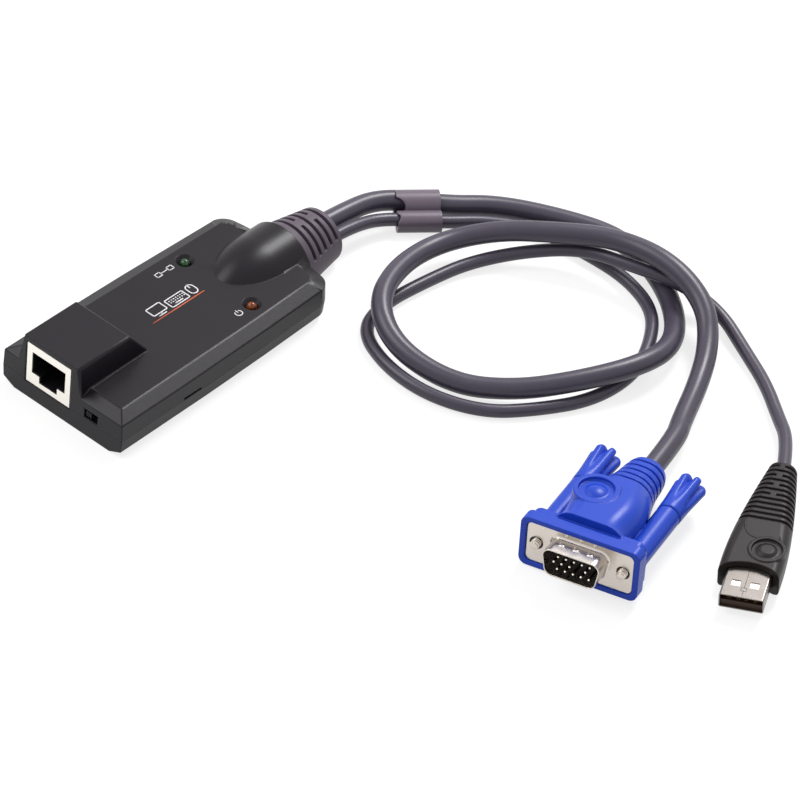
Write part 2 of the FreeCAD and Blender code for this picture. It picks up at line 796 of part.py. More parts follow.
def strain_relief():
    """A flange inside the rear wall, a neck through it, and a ribbed taper outside."""
    inside = "housing_length - wall - relief_flange - fit_gap"
    flange = relief_section("relief_flange_disc", "relief_flange_radius", "wall + 0.6", inside,
                            "relief_flange")
    neck = relief_section("relief_neck", "relief_neck_radius", "wall + 0.5", inside,
                          "relief_flange + wall + fit_gap + 1")
    cone = taper("relief_cone", "y", "relief_base_radius", "relief_end_radius", "relief_length",
                 y="housing_length", z="seam_height")
    keep = box("relief_keep", ("-cut_room", "cut_room"), ("housing_length", "housing_length + relief_length"),
               ("relief_floor", "cut_room"))
    body = fuse("relief_body", flange, neck, common("relief_taper", cone, keep))
    core = taper("relief_core", "y", "relief_base_radius - groove_depth", "relief_end_radius - groove_depth",
                 "relief_length", y="housing_length", z="seam_height")
    spine = box("relief_spine", ("-cut_room", "cut_room"),
                ("housing_length", "housing_length + relief_length"), ("groove_low", "groove_high"))
    slabs = []
    bridges = []
    for count in range(5):
        middle = f"housing_length + groove_first + {count} * groove_pitch"
        span = (f"{middle} - groove_width / 2", f"{middle} + groove_width / 2")
        slabs.append(box(f"groove_{count}", ("-cut_room", "cut_room"), span, ("-cut_room", "cut_room")))
        if count % 2:
            bridges.append(box(f"bridge_{count}", ("-groove_bridge / 2", "groove_bridge / 2"), span,
                               ("5", "cut_room")))
    grooves = cut("relief_grooves", fuse("relief_slabs", *slabs), core, spine, *bridges)
    return in_housing(cut("strain_relief", body, grooves))


# ---------------------------------------------------------------- cables

VIDEO_ROUTE = [
    (-1.8, 51.85, 7.0), (0, 68, 6.6), (8, 83, 4.25), (20.5, 97.4, 3.0), (38, 109.8, 3.0), (56, 115.5, 3.0),
    (73, 112.5, 3.0), (88, 103, 3.8), (97, 88, 6.8), (98.5, 71, 9.0), (91.5, 55.5, 8.0), (81, 42, 5.5),
    (66, 32.5, 4.3), (50, 30.7, 6.5), (36, 37.5, 9.5), (27.5, 51.5, 11.0), (26, 69, 12.0), (34, 85, 14.5),
    (47, 97.5, 17.0), (62, 107, 18.5), (79, 110.5, 19.5), (95.5, 105, 17.5), (107.3, 92.5, 12.0),
    (115, 76, 7.5), (123.34, 57.37, 5.47), (127.33, 40.88, 6.51),
]
USB_ROUTE = [
    (3.8, 51.85, 6.8), (5.5, 67, 5.4), (13, 81, 3.15), (25.3, 94.2, 1.9), (39, 103, 1.9), (54, 105, 1.9),
    (69, 104.5, 1.9), (83, 99.5, 1.9), (92, 87, 1.9), (95.5, 72, 1.9), (94, 57, 1.9), (87, 43, 1.9),
    (77, 32, 1.9), (63, 26, 1.9), (47.5, 26, 1.9), (34.5, 33, 1.9), (28.5, 46.5, 1.9), (29, 62, 1.9),
    (33, 77, 3.5), (42, 90, 6.5), (55, 100, 9.5), (69, 105.5, 11.5), (83, 109.5, 9.0), (97.5, 110.5, 5.0),
    (110.5, 105, 2.5), (123, 98.6, 1.9), (135.3, 89.7, 3.0), (145.6, 81.2, 4.7), (151.35, 69.49, 4.7),
]
RUN_SHARE = 0.45


def turn_between(before, corner, after):
    """How much a route turns at a corner, in radians."""
    return (corner - before).getAngle(after - corner)


def tube_path(route):
    """Straight runs joined by tangent arcs, each as large as its two runs allow."""
    points = [Vector(*point) for point in route]
    edges = []
    radii = []
    last = points[0]
    for before, corner, after in zip(points, points[1:], points[2:]):
        reach = RUN_SHARE * min((corner - before).Length, (after - corner).Length)
        half = turn_between(before, corner, after) / 2
        radius = reach / math.tan(half)
        into = (before - corner).normalize()
        out = (after - corner).normalize()
        enter, leave = corner + into * reach, corner + out * reach
        inward = (into + out).normalize()
        middle = corner + inward * (radius / math.cos(half) - radius)
        edges += [Part.LineSegment(last, enter).toShape(), Part.Arc(enter, middle, leave).toShape()]
        radii.append(radius)
        last = leave
    edges.append(Part.LineSegment(last, points[-1]).toShape())
    return Part.Wire(edges), radii


def swept(path, radius):
    start = path.Edges[0]
    heading = start.tangentAt(start.FirstParameter)
    circle = Part.Wire(Part.Circle(start.Vertexes[0].Point, heading, radius).toShape())
    return path.makePipeShell([circle], True, False)


def cable(name, route, diameter):
    """A free cable's tube, whose route stays as chosen."""
    path, radii = tube_path(route)
    radius = number(diameter) / 2
    item = add("Part::Feature", name)
    item.Shape = swept(path, radius)
    item.Placement = Placement()
    share = item.Shape.Volume / (math.pi * radius ** 2 * path.Length)
    print(f"{name}: length {path.Length:.0f}, volume share {share:.4f}, radii",
          " ".join(f"{bend:.0f}" for bend in radii))
    return item


def cable_clip():
    """A moulded clip with a figure-of-eight section that holds both cables side by side."""
    video, usb = "video_diameter / 2 + clip_wall", "usb_diameter / 2 + clip_wall"
    half = "-clip_length / 2"
    large = rod("clip_large", "x", video, "clip_length", half, "clip_spread / 2", video)
    small = rod("clip_small", "x", usb, "clip_length", half, "-clip_spread / 2", usb)
    web = box("clip_web", (half, "clip_length / 2"), ("-clip_spread / 2", "clip_spread / 2"),
              ("clip_wall * 1.2", "usb_diameter + clip_wall * 0.7"))
    body = fuse("clip_body", large, small, web)
    move(body, "clip_across", "clip_along", "0", Rotation(Vector(0, 0, 1), number("clip_heading")))
    bores = []
    for name, route, diameter in (("clip_video_bore", VIDEO_ROUTE, "video_diameter"),
                                  ("clip_usb_bore", USB_ROUTE, "usb_diameter")):
        bore = add("Part::Feature", name)
        bore.Shape = swept(tube_path(route[:6])[0], number(f"{diameter} / 2 + clip_clearance"))
        bores.append(bore)
    return cut("cable_clip", body, *bores)


# ---------------------------------------------------------------- shapes that both plugs share


def in_plug(item, plug):
    """Moves a piece from its plug's own frame, whose +X leaves the plug, to its place."""
    heading = Rotation(Vector(0, 0, 1), number(plug + "_heading"))
    pitch = Rotation(Vector(0, -1, 0), number(plug + "_pitch"))
    roll = Rotation(Vector(1, 0, 0), number(plug + "_roll"))
    return move(item, plug + "_across", plug + "_along", plug + "_height", heading * pitch * roll)


def rounded_section(body, name, at, width, height, corner, lift="0"):
    """A rectangle with round corners, square to the plug's axis and lifted off it."""
    sketch = sketch_on(body, name, "YZ_Plane", z=at)
    w, r = number(width) / 2, number(corner)
    top, low = number(f"({height}) / 2 + {lift}"), number(f"-({height}) / 2 + {lift}")
    quarter = math.pi / 2
    lines = [((w, low + r), (w, top - r)), ((w - r, top), (-w + r, top)), ((-w, top - r), (-w, low + r)),
             ((-w + r, low), (w - r, low))]
    centres = [(w - r, top - r), (-w + r, top - r), (-w + r, low + r), (w - r, low + r)]
    for count, (line, centre) in enumerate(zip(lines, centres)):
        sketch.addGeometry(Part.LineSegment(Vector(*line[0], 0), Vector(*line[1], 0)))
        circle = Part.Circle(Vector(*centre, 0), Vector(0, 0, 1), r)
        sketch.addGeometry(Part.ArcOfCircle(circle, count * quarter, (count + 1) * quarter))
    for first in range(8):
        join(sketch, ("Tangent", first, END, (first + 1) % 8, START))
    join(sketch, ("Vertical", 0), ("Vertical", 4), ("Horizontal", 2), ("Horizontal", 6),
         ("Equal", 1, 3), ("Equal", 3, 5), ("Equal", 5, 7))
    hold(sketch, "Radius", 1, size=corner)
    hold(sketch, "DistanceX", 3, CENTRE, 1, CENTRE, size=f"{width} - 2 * ({corner})")
    hold(sketch, "DistanceY", 7, CENTRE, 1, CENTRE, size=f"{height} - 2 * ({corner})")
    hold(sketch, "DistanceX", ORIGIN, START, 1, CENTRE, size=f"({width}) / 2 - ({corner})")
    hold(sketch, "DistanceY", ORIGIN, START, 1, CENTRE, size=f"({height}) / 2 - ({corner}) + {lift}")
    return sketch


def grip_loft(name, *sections):
    """A moulded grip through rounded sections: place on the axis, width, height, corner, lift."""
    body = add("PartDesign::Body", name)
    sketches = [rounded_section(body, f"{name}_section_{count}", *section)
                for count, section in enumerate(sections)]
    loft = body.newObject("PartDesign::AdditiveLoft", name + "_loft")
    loft.Profile = sketches[0]
    loft.Sections = sketches[1:]
    body.Tip = loft
    return body


def soft_block(name, x, width, height, corner):
    """A block with its four long edges rounded."""
    block = box(name + "_block", x, (f"-({width}) / 2", f"({width}) / 2"),
                (f"-({height}) / 2", f"({height}) / 2"))
    return rounded(name, block, corner, lambda edge: along(edge, "x"))


def domed_boss(name, at, across, base, radius, dish, dome, lift):
    """A raised ring round a shallow dish with a dome in its middle, as a body and a cutter."""
    ring = rod(name + "_ring", "z", radius, f"{base} + {lift} - boss_root", at, across, "boss_root")
    hollow = rod(name + "_hollow", "z", dish, base, at, across, f"{base} - dish_sink")
    swell = f"({dome} * {dome} + dome_rise * dome_rise) / (2 * dome_rise)"
    bump = ball(name + "_bump", swell, at, across, f"{base} - dish_sink + dome_rise - {swell}")
    return ring, cut(name + "_dish", hollow, bump)


# ---------------------------------------------------------------- video plug


def shroud_prism(name, start, end, inset):
    """A prism with the plug's slant-sided section, its wide side up."""
    slant = math.tan(math.radians(number("shroud_slant")))
    top, low = f"shroud_height / 2 - ({inset})", f"-shroud_height / 2 + {inset}"
    half_top = f"shroud_width / 2 + 0.15 - ({inset})"
    half_low = f"{half_top} - (shroud_height - 2 * ({inset})) * {slant:.5f}"
    item = bind(
        add("Part::Wedge", name + "_sharp"),
        Xmin=f"-({half_low})", Xmax=half_low, X2min=f"-({half_top})", X2max=half_top,
        Ymin=low, Ymax=top, Zmin=start, Zmax=end, Z2min=start, Z2max=end,
    )
    move(item, rotation=Rotation(Vector(1, 1, 1), 120))
    return rounded(name, item, f"shroud_corner - {inset}", lambda edge: along(edge, "x"))


def vga_shell():
    """The pressed plate with its two screw holes and the slant-sided shroud round the pins."""
    plate = soft_block("plate", ("-plate_thickness", "0"), "plate_width", "plate_height",
                       "plate_corner")
    shroud = shroud_prism("shroud_outer", "-plate_thickness", "shroud_length", "0")
    inside = shroud_prism("shroud_space", "-plate_thickness - 1", "shroud_length + 1", "shroud_wall")
    holes = [rod(f"plate_hole_{side}", "x", "plate_hole_radius", "plate_thickness + 2",
                 "-plate_thickness - 1",
                 f"{side} * screw_spacing / 2") for side in (-1, 1)]
    return in_plug(cut("vga_shell", fuse("shell_solid", plate, shroud), inside, *holes), "vga")


def pin_places():
    """Three rows of five pins, the middle row set half a pitch across and one place empty."""
    for row in (1, 0, -1):
        for column in range(5):
            if row == 0 and column == 3:
                continue
            shift = 0.25 if row else -0.25
            yield f"({column} - 2 + {shift}) * pin_pitch", f"{row} * pin_rows"


def vga_pins():
    pins = [rod(f"pin_{count}", "x", "pin_radius", "pin_reach + pin_root", "-pin_root", across, up)
            for count, (across, up) in enumerate(pin_places())]
    return in_plug(group("vga_pins", *pins), "vga")


def vga_insulator():
    block = shroud_prism("insulator_block", "-insulator_depth", "insulator_proud", "shroud_wall + fit_gap")
    holes = [rod(f"pin_hole_{count}", "x", "pin_radius + 0.03", "2 * insulator_depth",
             "-insulator_depth - 1", across, up)
             for count, (across, up) in enumerate(pin_places())]
    return in_plug(cut("vga_insulator", block, *holes), "vga")


def vga_hood():
    """The moulded grip: a stepped collar, a swelling body with a ringed neck, and two screw barrels."""
    collar_back = "-plate_thickness - collar_depth"
    step_back = f"{collar_back} - step_depth"
    step_width, step_height = "collar_width - 2 * step_inset", "collar_height - 2 * step_inset"
    collar = soft_block("collar", (collar_back, "collar_lip"), "collar_width", "collar_height",
                        "collar_corner")
    step = soft_block("collar_step", (step_back, collar_back), step_width, step_height, "step_corner")
    grip = grip_loft(
        "vga_grip",
        (f"{collar_back} - step_depth / 2", "grip_front_width", "grip_front_height",
         "grip_front_corner", "grip_front_lift"),
        ("-grip_mid_at * 0.6", "grip_front_width - 0.3", "grip_front_height - 0.2",
         "(grip_front_corner + grip_mid_corner) / 2", "grip_front_lift"),
        ("-grip_mid_at", "grip_mid_width", "grip_mid_height", "grip_mid_corner", "grip_mid_lift"),
        ("-grip_neck_at", "grip_neck_width", "grip_neck_height", "grip_neck_corner", "grip_neck_lift"),
        ("-(grip_neck_at + grip_length) / 2", "(grip_neck_width + grip_end_width) / 2 - 0.3",
         "(grip_neck_height + grip_end_height) / 2 - 0.3",
         "(grip_neck_corner + grip_end_corner) / 2", "grip_neck_lift / 2"),
        ("-grip_length", "grip_end_width", "grip_end_height", "grip_end_corner", "0"),
    )
    barrels = [rod(f"barrel_{side}", "x", "barrel_radius", f"barrel_length + {collar_back}", "-barrel_length",
                   f"{side} * screw_spacing / 2") for side in (-1, 1)]
    ring, dish = domed_boss("vga_boss", "-boss_at", "boss_across", "(grip_mid_height / 2 + grip_mid_lift)",
                            "boss_radius", "boss_dish", "boss_dome", "boss_lift")
    solid = fuse("vga_hood_solid", collar, step, grip, ring, *barrels)
    recess = soft_block("plate_recess", ("-plate_thickness", "collar_lip + 1"), "plate_width + 2 * fit_gap",
                        "plate_height + 2 * fit_gap", "plate_corner + fit_gap")
    pocket = shroud_prism("insulator_pocket", "-insulator_depth - fit_gap", "0", "shroud_wall")
    bores = [rod(f"barrel_bore_{side}", "x", "screw_radius + screw_clearance", "barrel_length + 2",
                 "-barrel_length - 1", f"{side} * screw_spacing / 2") for side in (-1, 1)]
    slabs = [box(f"vga_ring_{count}", (f"-grip_neck_at - {count} * ring_pitch - ring_width",
                                       f"-grip_neck_at - {count} * ring_pitch"),
                 ("-cut_room", "cut_room"), ("-cut_room", "cut_room"))
             for count in range(5)]
    core = grip_loft(
        "vga_grip_core",
        ("-grip_neck_at + 2", "grip_neck_width - 2 * ring_depth", "grip_neck_height - 2 * ring_depth",
         "grip_neck_corner - ring_depth", "grip_neck_lift"),
        ("-grip_length - 1", "grip_end_width - 2 * ring_depth", "grip_end_height - 2 * ring_depth",
         "grip_end_corner - ring_depth", "0"),
    )
    grooves = cut("vga_rings", fuse("vga_ring_slabs", *slabs), core)
    return in_plug(cut("vga_hood", solid, recess, pocket, dish, grooves, *bores), "vga")


GRIP_END = "-barrel_length - thumb_gap - thumb_length"
SCREW_BACK = "-barrel_length - thumb_gap - thumb_bore"


def thumb_grip(name, side):
    """A flared finger grip whose six lobes part towards the tip."""
    across = f"{side} * screw_spacing / 2"
    cone = taper(name + "_cone", "x", "thumb_tip_radius", "thumb_base_radius", "thumb_length", GRIP_END,
                 across)
    flutes = []
    for count in range(6):
        angle = math.radians(60 * count + 30)
        flutes.append(rod(f"{name}_flute_{count}", "x", "thumb_flute_radius", "thumb_length + 2",
                          f"{GRIP_END} - 1",
                          f"{across} + (thumb_tip_radius + 0.1) * {math.cos(angle):.5f}",
                          f"(thumb_tip_radius + 0.1) * {math.sin(angle):.5f}"))
    bore = rod(name + "_bore", "x", "screw_radius + 0.02", "thumb_bore + 1", SCREW_BACK, across)
    return in_plug(cut(name, cone, bore, *flutes), "vga")


def thumb_screw(name, side):
    """A captive steel screw: moulded into the grip, thinner through the plate, with a full end and a tip."""
    across = f"{side} * screw_spacing / 2"
    point = "screw_radius / 3"
    shank = rod(name + "_shank", "x", "screw_radius", f"-screw_neck_length - ({SCREW_BACK})", SCREW_BACK,
                across)
    neck = rod(name + "_neck", "x", "screw_neck_radius", "screw_neck_length + screw_thread_start",
               "-screw_neck_length", across)
    thread = rod(name + "_thread", "x", "screw_radius", f"screw_proud - {point} - screw_thread_start",
                 "screw_thread_start", across)
    tip = taper(name + "_tip", "x", "screw_radius", "screw_radius * 2 / 3", point, f"screw_proud - {point}",
                across)
    return in_plug(fuse(name, shank, neck, thread, tip), "vga")


# ---------------------------------------------------------------- USB plug


def usb_shell():
    """A folded tube with two square windows in its upper and lower walls."""
    outer = soft_block("usb_tube", ("-usb_shell_length", "0"), "usb_shell_width", "usb_shell_height",
                       "usb_shell_corner")
    inner = box("usb_tube_space", ("-usb_shell_length - 1", "1"),
                ("-usb_shell_width / 2 + usb_shell_sheet", "usb_shell_width / 2 - usb_shell_sheet"),
                ("-usb_shell_height / 2 + usb_shell_sheet", "usb_shell_height / 2 - usb_shell_sheet"))
    windows = []
    for side in (-1, 1):
        middle = f"{side} * usb_window_spread / 2"
        windows.append(box(f"usb_window_{side}",
                           ("-usb_window_at - usb_window / 2", "-usb_window_at + usb_window / 2"),
                           (f"{middle} - usb_window / 2", f"{middle} + usb_window / 2"), ("-5", "5")))
    return in_plug(cut("usb_shell", outer, inner, *windows), "usb")


USB_FLOOR = "-usb_shell_height / 2 + usb_shell_sheet"


def usb_tongue():
    """The contact carrier: a tongue on the shell's floor and a block that fills the shell behind it."""
    half = "usb_shell_width / 2 - usb_shell_sheet - fit_gap"
    tongue = box("usb_tongue_plate", ("-usb_shell_out + 0.3", "-0.7"), (f"-({half})", half),
                 (USB_FLOOR, f"{USB_FLOOR} + usb_tongue_height"))
    block = box("usb_tongue_block", ("-usb_shell_length + 0.4", "-usb_shell_out + 0.4"), (f"-({half})", half),
                (USB_FLOOR, "usb_shell_height / 2 - usb_shell_sheet - fit_gap"))
    return in_plug(fuse("usb_tongue", tongue, block), "usb")


def usb_contacts():
    top = f"{USB_FLOOR} + usb_tongue_height"
    strips = [box(f"usb_contact_{count}", ("-10.4", "-1.6"), (f"{middle} - 0.5", f"{middle} + 0.5"),
                  (top, f"{top} + 0.15")) for count, middle in enumerate((-3.5, -1.0, 1.0, 3.5))]
    return in_plug(group("usb_contacts", *strips), "usb")


def usb_grip():
    """The moulded grip: a hollow-fronted head with a domed boss, and a ringed tail."""
    ears = "-usb_shell_out + usb_ear"
    end = "-usb_shell_out - usb_grip_length"
    shape = grip_loft(
        "usb_grip_body",
        (ears, "usb_front_width", "usb_grip_height", "usb_front_corner"),
        ("-usb_shell_out - usb_mid_at", "usb_mid_width", "usb_grip_height", "usb_mid_corner"),
        ("-usb_shell_out - usb_waist_at", "usb_waist_width", "usb_grip_height",
         "usb_waist_corner"),
        (end, "usb_end_width", "usb_end_height", "usb_end_corner"),
    )
    ring, dish = domed_boss("usb_boss", "-usb_shell_out - usb_boss_at", "usb_boss_across",
                            "(usb_grip_height / 2)", "usb_boss_radius", "usb_boss_dish", "usb_boss_dome",
                            "usb_boss_lift")
    scoop_radius = "(usb_front_width * usb_front_width / 4 + usb_ear * usb_ear) / (2 * usb_ear)"
    scoop = rod("usb_scoop", "z", scoop_radius, "20", f"-usb_shell_out + {scoop_radius}", "0", "-10")
    socket = soft_block("usb_socket", ("-usb_shell_length - fit_gap", "1"), "usb_shell_width + 2 * fit_gap",
                        "usb_shell_height + 2 * fit_gap", "usb_shell_corner")
    slabs = []
    bridges = []
    for count in range(12):
        front = f"-usb_shell_out - usb_ring_first - {count} * usb_ring_pitch"
        span = (f"{front} - usb_ring_width", front)
        slabs.append(box(f"usb_ring_{count}", span, ("-cut_room", "cut_room"), ("-cut_room", "cut_room")))
        if count % 2 and count >= number("usb_split_from"):
            bridges.append(box(f"usb_bridge_{count}", span, ("-usb_ring_bridge / 2", "usb_ring_bridge / 2"),
                               ("0", "cut_room")))
    core = grip_loft(
        "usb_grip_core",
        ("-usb_shell_out - usb_mid_at + 4", "usb_mid_width - 2 * usb_ring_depth + 0.6",
         "usb_grip_height - 2 * usb_ring_depth", "usb_mid_corner - usb_ring_depth"),
        ("-usb_shell_out - usb_waist_at", "usb_waist_width - 2 * usb_ring_depth",
         "usb_grip_height - 2 * usb_ring_depth", "usb_waist_corner - usb_ring_depth"),
        (f"{end} - 1", "usb_end_width - 2 * usb_ring_depth", "usb_end_height - 2 * usb_ring_depth",
         "usb_end_corner - usb_ring_depth"),
    )
    grooves = cut("usb_rings", fuse("usb_ring_slabs", *slabs), core, *bridges)
    return in_plug(cut("usb_grip", fuse("usb_grip_solid", shape, ring), scoop, socket, dish, grooves), "usb")


# ---------------------------------------------------------------- assembly

nodes = [
    top_cover(),
    bottom_case(),
    circuit_board(),
    jack_shield(),
    jack_insert(),
    jack_contacts(),
    lamp("lamp_left", -1),
    lamp("lamp_right", 1),
    lamp_spacers(),
    switch_frame(),
    switch_base(),
    switch_knob(),
    board_part("video_chip", ("-9", "5"), ("26", "40"), "1.6"),
    board_part("processor_chip", ("-8", "2"), ("44", "54"), "1.4"),
    board_part("memory_chip", ("-16", "-11"), ("27", "35"), "1.1"),
    board_part("clock_crystal", ("-16", "-12"), ("40", "50"), "3"),
    board_capacitors(),
    board_part("video_header", ("-13", "1.5"), (HEADER_FRONT, BOARD_END), "5.5"),
    board_part("usb_header", ("2", "8"), (HEADER_FRONT, BOARD_END), "4"),
    cable_lead("video_lead", "video_diameter", "video_exit_across", "video_exit_height + 1.5"),
    cable_lead("usb_lead", "usb_diameter", "usb_exit_across + 1.2", "usb_exit_height + 0.6"),
    strain_relief(),
    cable("video_cable", VIDEO_ROUTE, "video_diameter"),
    cable("usb_cable", USB_ROUTE, "usb_diameter"),
    cable_clip(),
    vga_shell(),
    vga_pins(),
    vga_insulator(),
    vga_hood(),
    thumb_grip("thumb_grip_left", -1),
    thumb_grip("thumb_grip_right", 1),
    thumb_screw("thumb_screw_left", -1),
    thumb_screw("thumb_screw_right", 1),
    usb_shell(),
    usb_tongue(),
    usb_contacts(),
    usb_grip(),
]
doc.recompute()
failed = [item.Name for item in doc.Objects if {"Invalid", "Error"} & set(item.State)]
assert not failed, f"these could not be built: {failed}"
for item in nodes:
    assert not item.Shape.isNull() and item.Shape.isValid(), f"{item.Label} has no valid shape"
for item in nodes:
    item.Shape.exportStep(f"parts/{item.Label}.step")
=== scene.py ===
"""A console adapter dongle on a pale table: housing, looped cables, video plug and USB plug.

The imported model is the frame. Each operator makes or finishes one group of pieces in that frame, in metres.
"""

import json
import math

import bmesh
import bpy
from bpy.props import FloatProperty, FloatVectorProperty, IntProperty, PointerProperty
from mathutils import Matrix, Vector
from mathutils.bvhtree import BVHTree


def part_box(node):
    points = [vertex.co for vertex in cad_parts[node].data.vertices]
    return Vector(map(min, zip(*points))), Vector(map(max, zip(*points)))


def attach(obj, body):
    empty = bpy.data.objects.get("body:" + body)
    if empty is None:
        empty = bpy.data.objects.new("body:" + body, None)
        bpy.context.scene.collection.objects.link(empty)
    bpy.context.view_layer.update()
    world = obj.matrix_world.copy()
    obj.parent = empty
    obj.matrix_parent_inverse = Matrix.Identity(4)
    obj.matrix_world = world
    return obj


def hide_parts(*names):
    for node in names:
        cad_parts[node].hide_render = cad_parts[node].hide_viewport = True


bl_info = {
    "name": "Console Adapter Dongle",
    "version": (1, 0, 0),
    "blender": (4, 5, 0),
    "location": "3D View > Sidebar > Dongle",
    "description": "Builds the pieces, finishes and stage of a console adapter dongle",
    "category": "Object",
}

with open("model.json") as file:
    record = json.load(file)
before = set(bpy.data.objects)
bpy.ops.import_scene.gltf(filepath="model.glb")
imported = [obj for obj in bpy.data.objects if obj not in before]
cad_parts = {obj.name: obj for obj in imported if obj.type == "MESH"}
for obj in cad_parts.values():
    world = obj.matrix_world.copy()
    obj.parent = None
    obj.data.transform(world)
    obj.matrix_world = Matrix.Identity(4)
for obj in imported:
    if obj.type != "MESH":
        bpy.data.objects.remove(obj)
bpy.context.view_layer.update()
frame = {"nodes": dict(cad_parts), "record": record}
NODES = frame["nodes"]
MOUNTS = {mount["name"]: mount for mount in frame["record"]["mounts"]}
MM = 0.001
FULL_TURN = 2 * math.pi
HOUSING = "dongle"


def corners(node):
    """A node's lowest and highest corners at rest."""
    low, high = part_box(node)
    return Vector(low), Vector(high)


HOUSING_LOW, HOUSING_HIGH = corners("bottom_case")
SEAM = corners("top_cover")[0].z
LAMP_PROUD = 0.3 * MM
PLATEAU = corners("lamp_left")[1].z - LAMP_PROUD


def plug_frame(mount, back, roll):
    """The place of a plug: +X out of the plug, +Y across it, rolled as it rests, its origin behind its mount."""
    ahead = Vector(MOUNTS[mount]["axis"]).normalized()
    across = Vector((0, 0, 1)).cross(ahead).normalized()
    turn = Matrix((ahead, across, ahead.cross(across))).transposed()
    turn = turn @ Matrix.Rotation(math.radians(roll), 3, "X")
    return Matrix.Translation(Vector(MOUNTS[mount]["pos_m"]) - ahead * back) @ turn.to_4x4()


SHROUD_LENGTH = 5.9 * MM
VIDEO_ROLL = 4.0
USB_ROLL = 5.0
VIDEO_PLUG = plug_frame("video_plug", SHROUD_LENGTH, VIDEO_ROLL)
USB_PLUG = plug_frame("usb_plug", 0.0, USB_ROLL)
LEFT_SCREW, RIGHT_SCREW = (Vector(MOUNTS[f"video_screw_{side}"]["pos_m"]) for side in ("left", "right"))
SCREW_ACROSS = (RIGHT_SCREW - LEFT_SCREW).length / 2


# ---------- settings


def length(name, description, default):
    return FloatProperty(name=name, description=description, default=default, min=0, unit="LENGTH", precision=5)


def colour(name, description, default):
    return FloatVectorProperty(name=name, description=description, default=default, min=0, max=1, subtype="COLOR")


class DongleSizes(bpy.types.PropertyGroup):
    """Sizes that a user would change."""

    video_diameter: length("Video cable", "Diameter of the video cable's jacket", 6.0 * MM)
    usb_diameter: length("USB cable", "Diameter of the USB cable's jacket", 3.8 * MM)
    edge: length("Moulded edge", "Radius on the edges of the moulded shells", 0.3 * MM)
    print_line: length("Printed line", "Width of the printed marks' lines", 0.36 * MM)
    thread_pitch: length("Thread pitch", "Distance between the thumbscrews' threads", 0.635 * MM)
    lobes: IntProperty(
        name="Thumbscrew lobes", description="Lobes round a thumbscrew's grip", default=6, min=3, max=9
    )


class DongleColours(bpy.types.PropertyGroup):
    """Colours that a user would change."""

    housing: colour("Housing", "Moulded shells", (0.0070, 0.0048, 0.0080))
    relief: colour("Strain relief", "Ribbed relief and cable clip", (0.088, 0.068, 0.092))
    jacket: colour("Cable jackets", "Both cables", (0.047, 0.039, 0.062))
    video_plug: colour("Video plug", "Moulded hood and thumbscrew grips", (0.010, 0.052, 0.47))
    usb_plug: colour("USB plug", "Moulded grip", (0.012, 0.0085, 0.0090))
    print_rule: colour("Printed rule", "The coloured rule on the housing", (0.55, 0.095, 0.028))
    print_marks: colour("Printed marks", "The pale marks on the housing", (0.72, 0.70, 0.72))


def sizes():
    return bpy.context.scene.dongle_sizes


def colours():
    return bpy.context.scene.dongle_colours


# ---------- shader groups


def new_group(name, inputs, outputs):
    """A shader node group with float inputs, and outputs given as name and socket type."""
    group = bpy.data.node_groups.new(name, "ShaderNodeTree")
    for label, default in inputs:
        group.interface.new_socket(label, in_out="INPUT", socket_type="NodeSocketFloat").default_value = default
    for label, kind in outputs:
        group.interface.new_socket(label, in_out="OUTPUT", socket_type=kind)
    return group, Nodes(group)


class Nodes:
    """Short forms for building a node tree."""

    def __init__(self, tree):
        self.tree = tree

    def add(self, kind, settings=None, **inputs):
        node = self.tree.nodes.new(kind)
        for key, value in (settings or {}).items():
            setattr(node, key, value)
        for key, value in inputs.items():
            self.put(node.inputs[key.replace("_", " ")], value)
        return node

    def put(self, socket, value):
        if isinstance(value, bpy.types.NodeSocket):
            self.tree.links.new(value, socket)
        else:
            socket.default_value = value

    def math(self, operation, *values):
        node = self.tree.nodes.new("ShaderNodeMath")
        node.operation = operation
        for socket, value in zip(node.inputs, values):
            self.put(socket, value)
        return node.outputs[0]

    def ramp(self, value, low, high, to_low=0.0, to_high=1.0):
        node = self.add("ShaderNodeMapRange", Value=value, From_Min=low, From_Max=high, To_Min=to_low, To_Max=to_high)
        return node.outputs[0]


def moulded_grain():
    """The fine spark-eroded grain of moulded plastic: a height and a slow drift of the gloss."""
    group, make = new_group("Moulded Grain", [("Scale", 5200.0), ("Drift", 0.05)],
                            [("Height", "NodeSocketFloat"), ("Gloss Drift", "NodeSocketFloat")])
    entry = make.add("NodeGroupInput")
    place = make.add("ShaderNodeTexCoord").outputs["Object"]
    fine = make.add("ShaderNodeTexNoise", Vector=place, Scale=entry.outputs["Scale"], Detail=2.0)
    slow = make.add("ShaderNodeTexNoise", Vector=place, Scale=90.0, Detail=3.0)
    drift = make.math("MULTIPLY", make.math("SUBTRACT", slow.outputs["Fac"], 0.5), entry.outputs["Drift"])
    leave = make.add("NodeGroupOutput")
    make.put(leave.inputs["Height"], fine.outputs["Fac"])
    make.put(leave.inputs["Gloss Drift"], drift)
    return group


def handled_surface():
    """Light dust and rubbed patches, as a mask that changes over the surface."""
    group, make = new_group("Handled Surface", [("Scale", 260.0), ("Amount", 0.3)], [("Mask", "NodeSocketFloat")])
    entry = make.add("NodeGroupInput")
    place = make.add("ShaderNodeTexCoord").outputs["Object"]
    patches = make.add("ShaderNodeTexNoise", Vector=place, Scale=entry.outputs["Scale"], Detail=5.0, Roughness=0.6)
    mask = make.math("MULTIPLY", make.ramp(patches.outputs["Fac"], 0.52, 0.75), entry.outputs["Amount"])
    make.put(make.add("NodeGroupOutput").inputs["Mask"], mask)
    return group


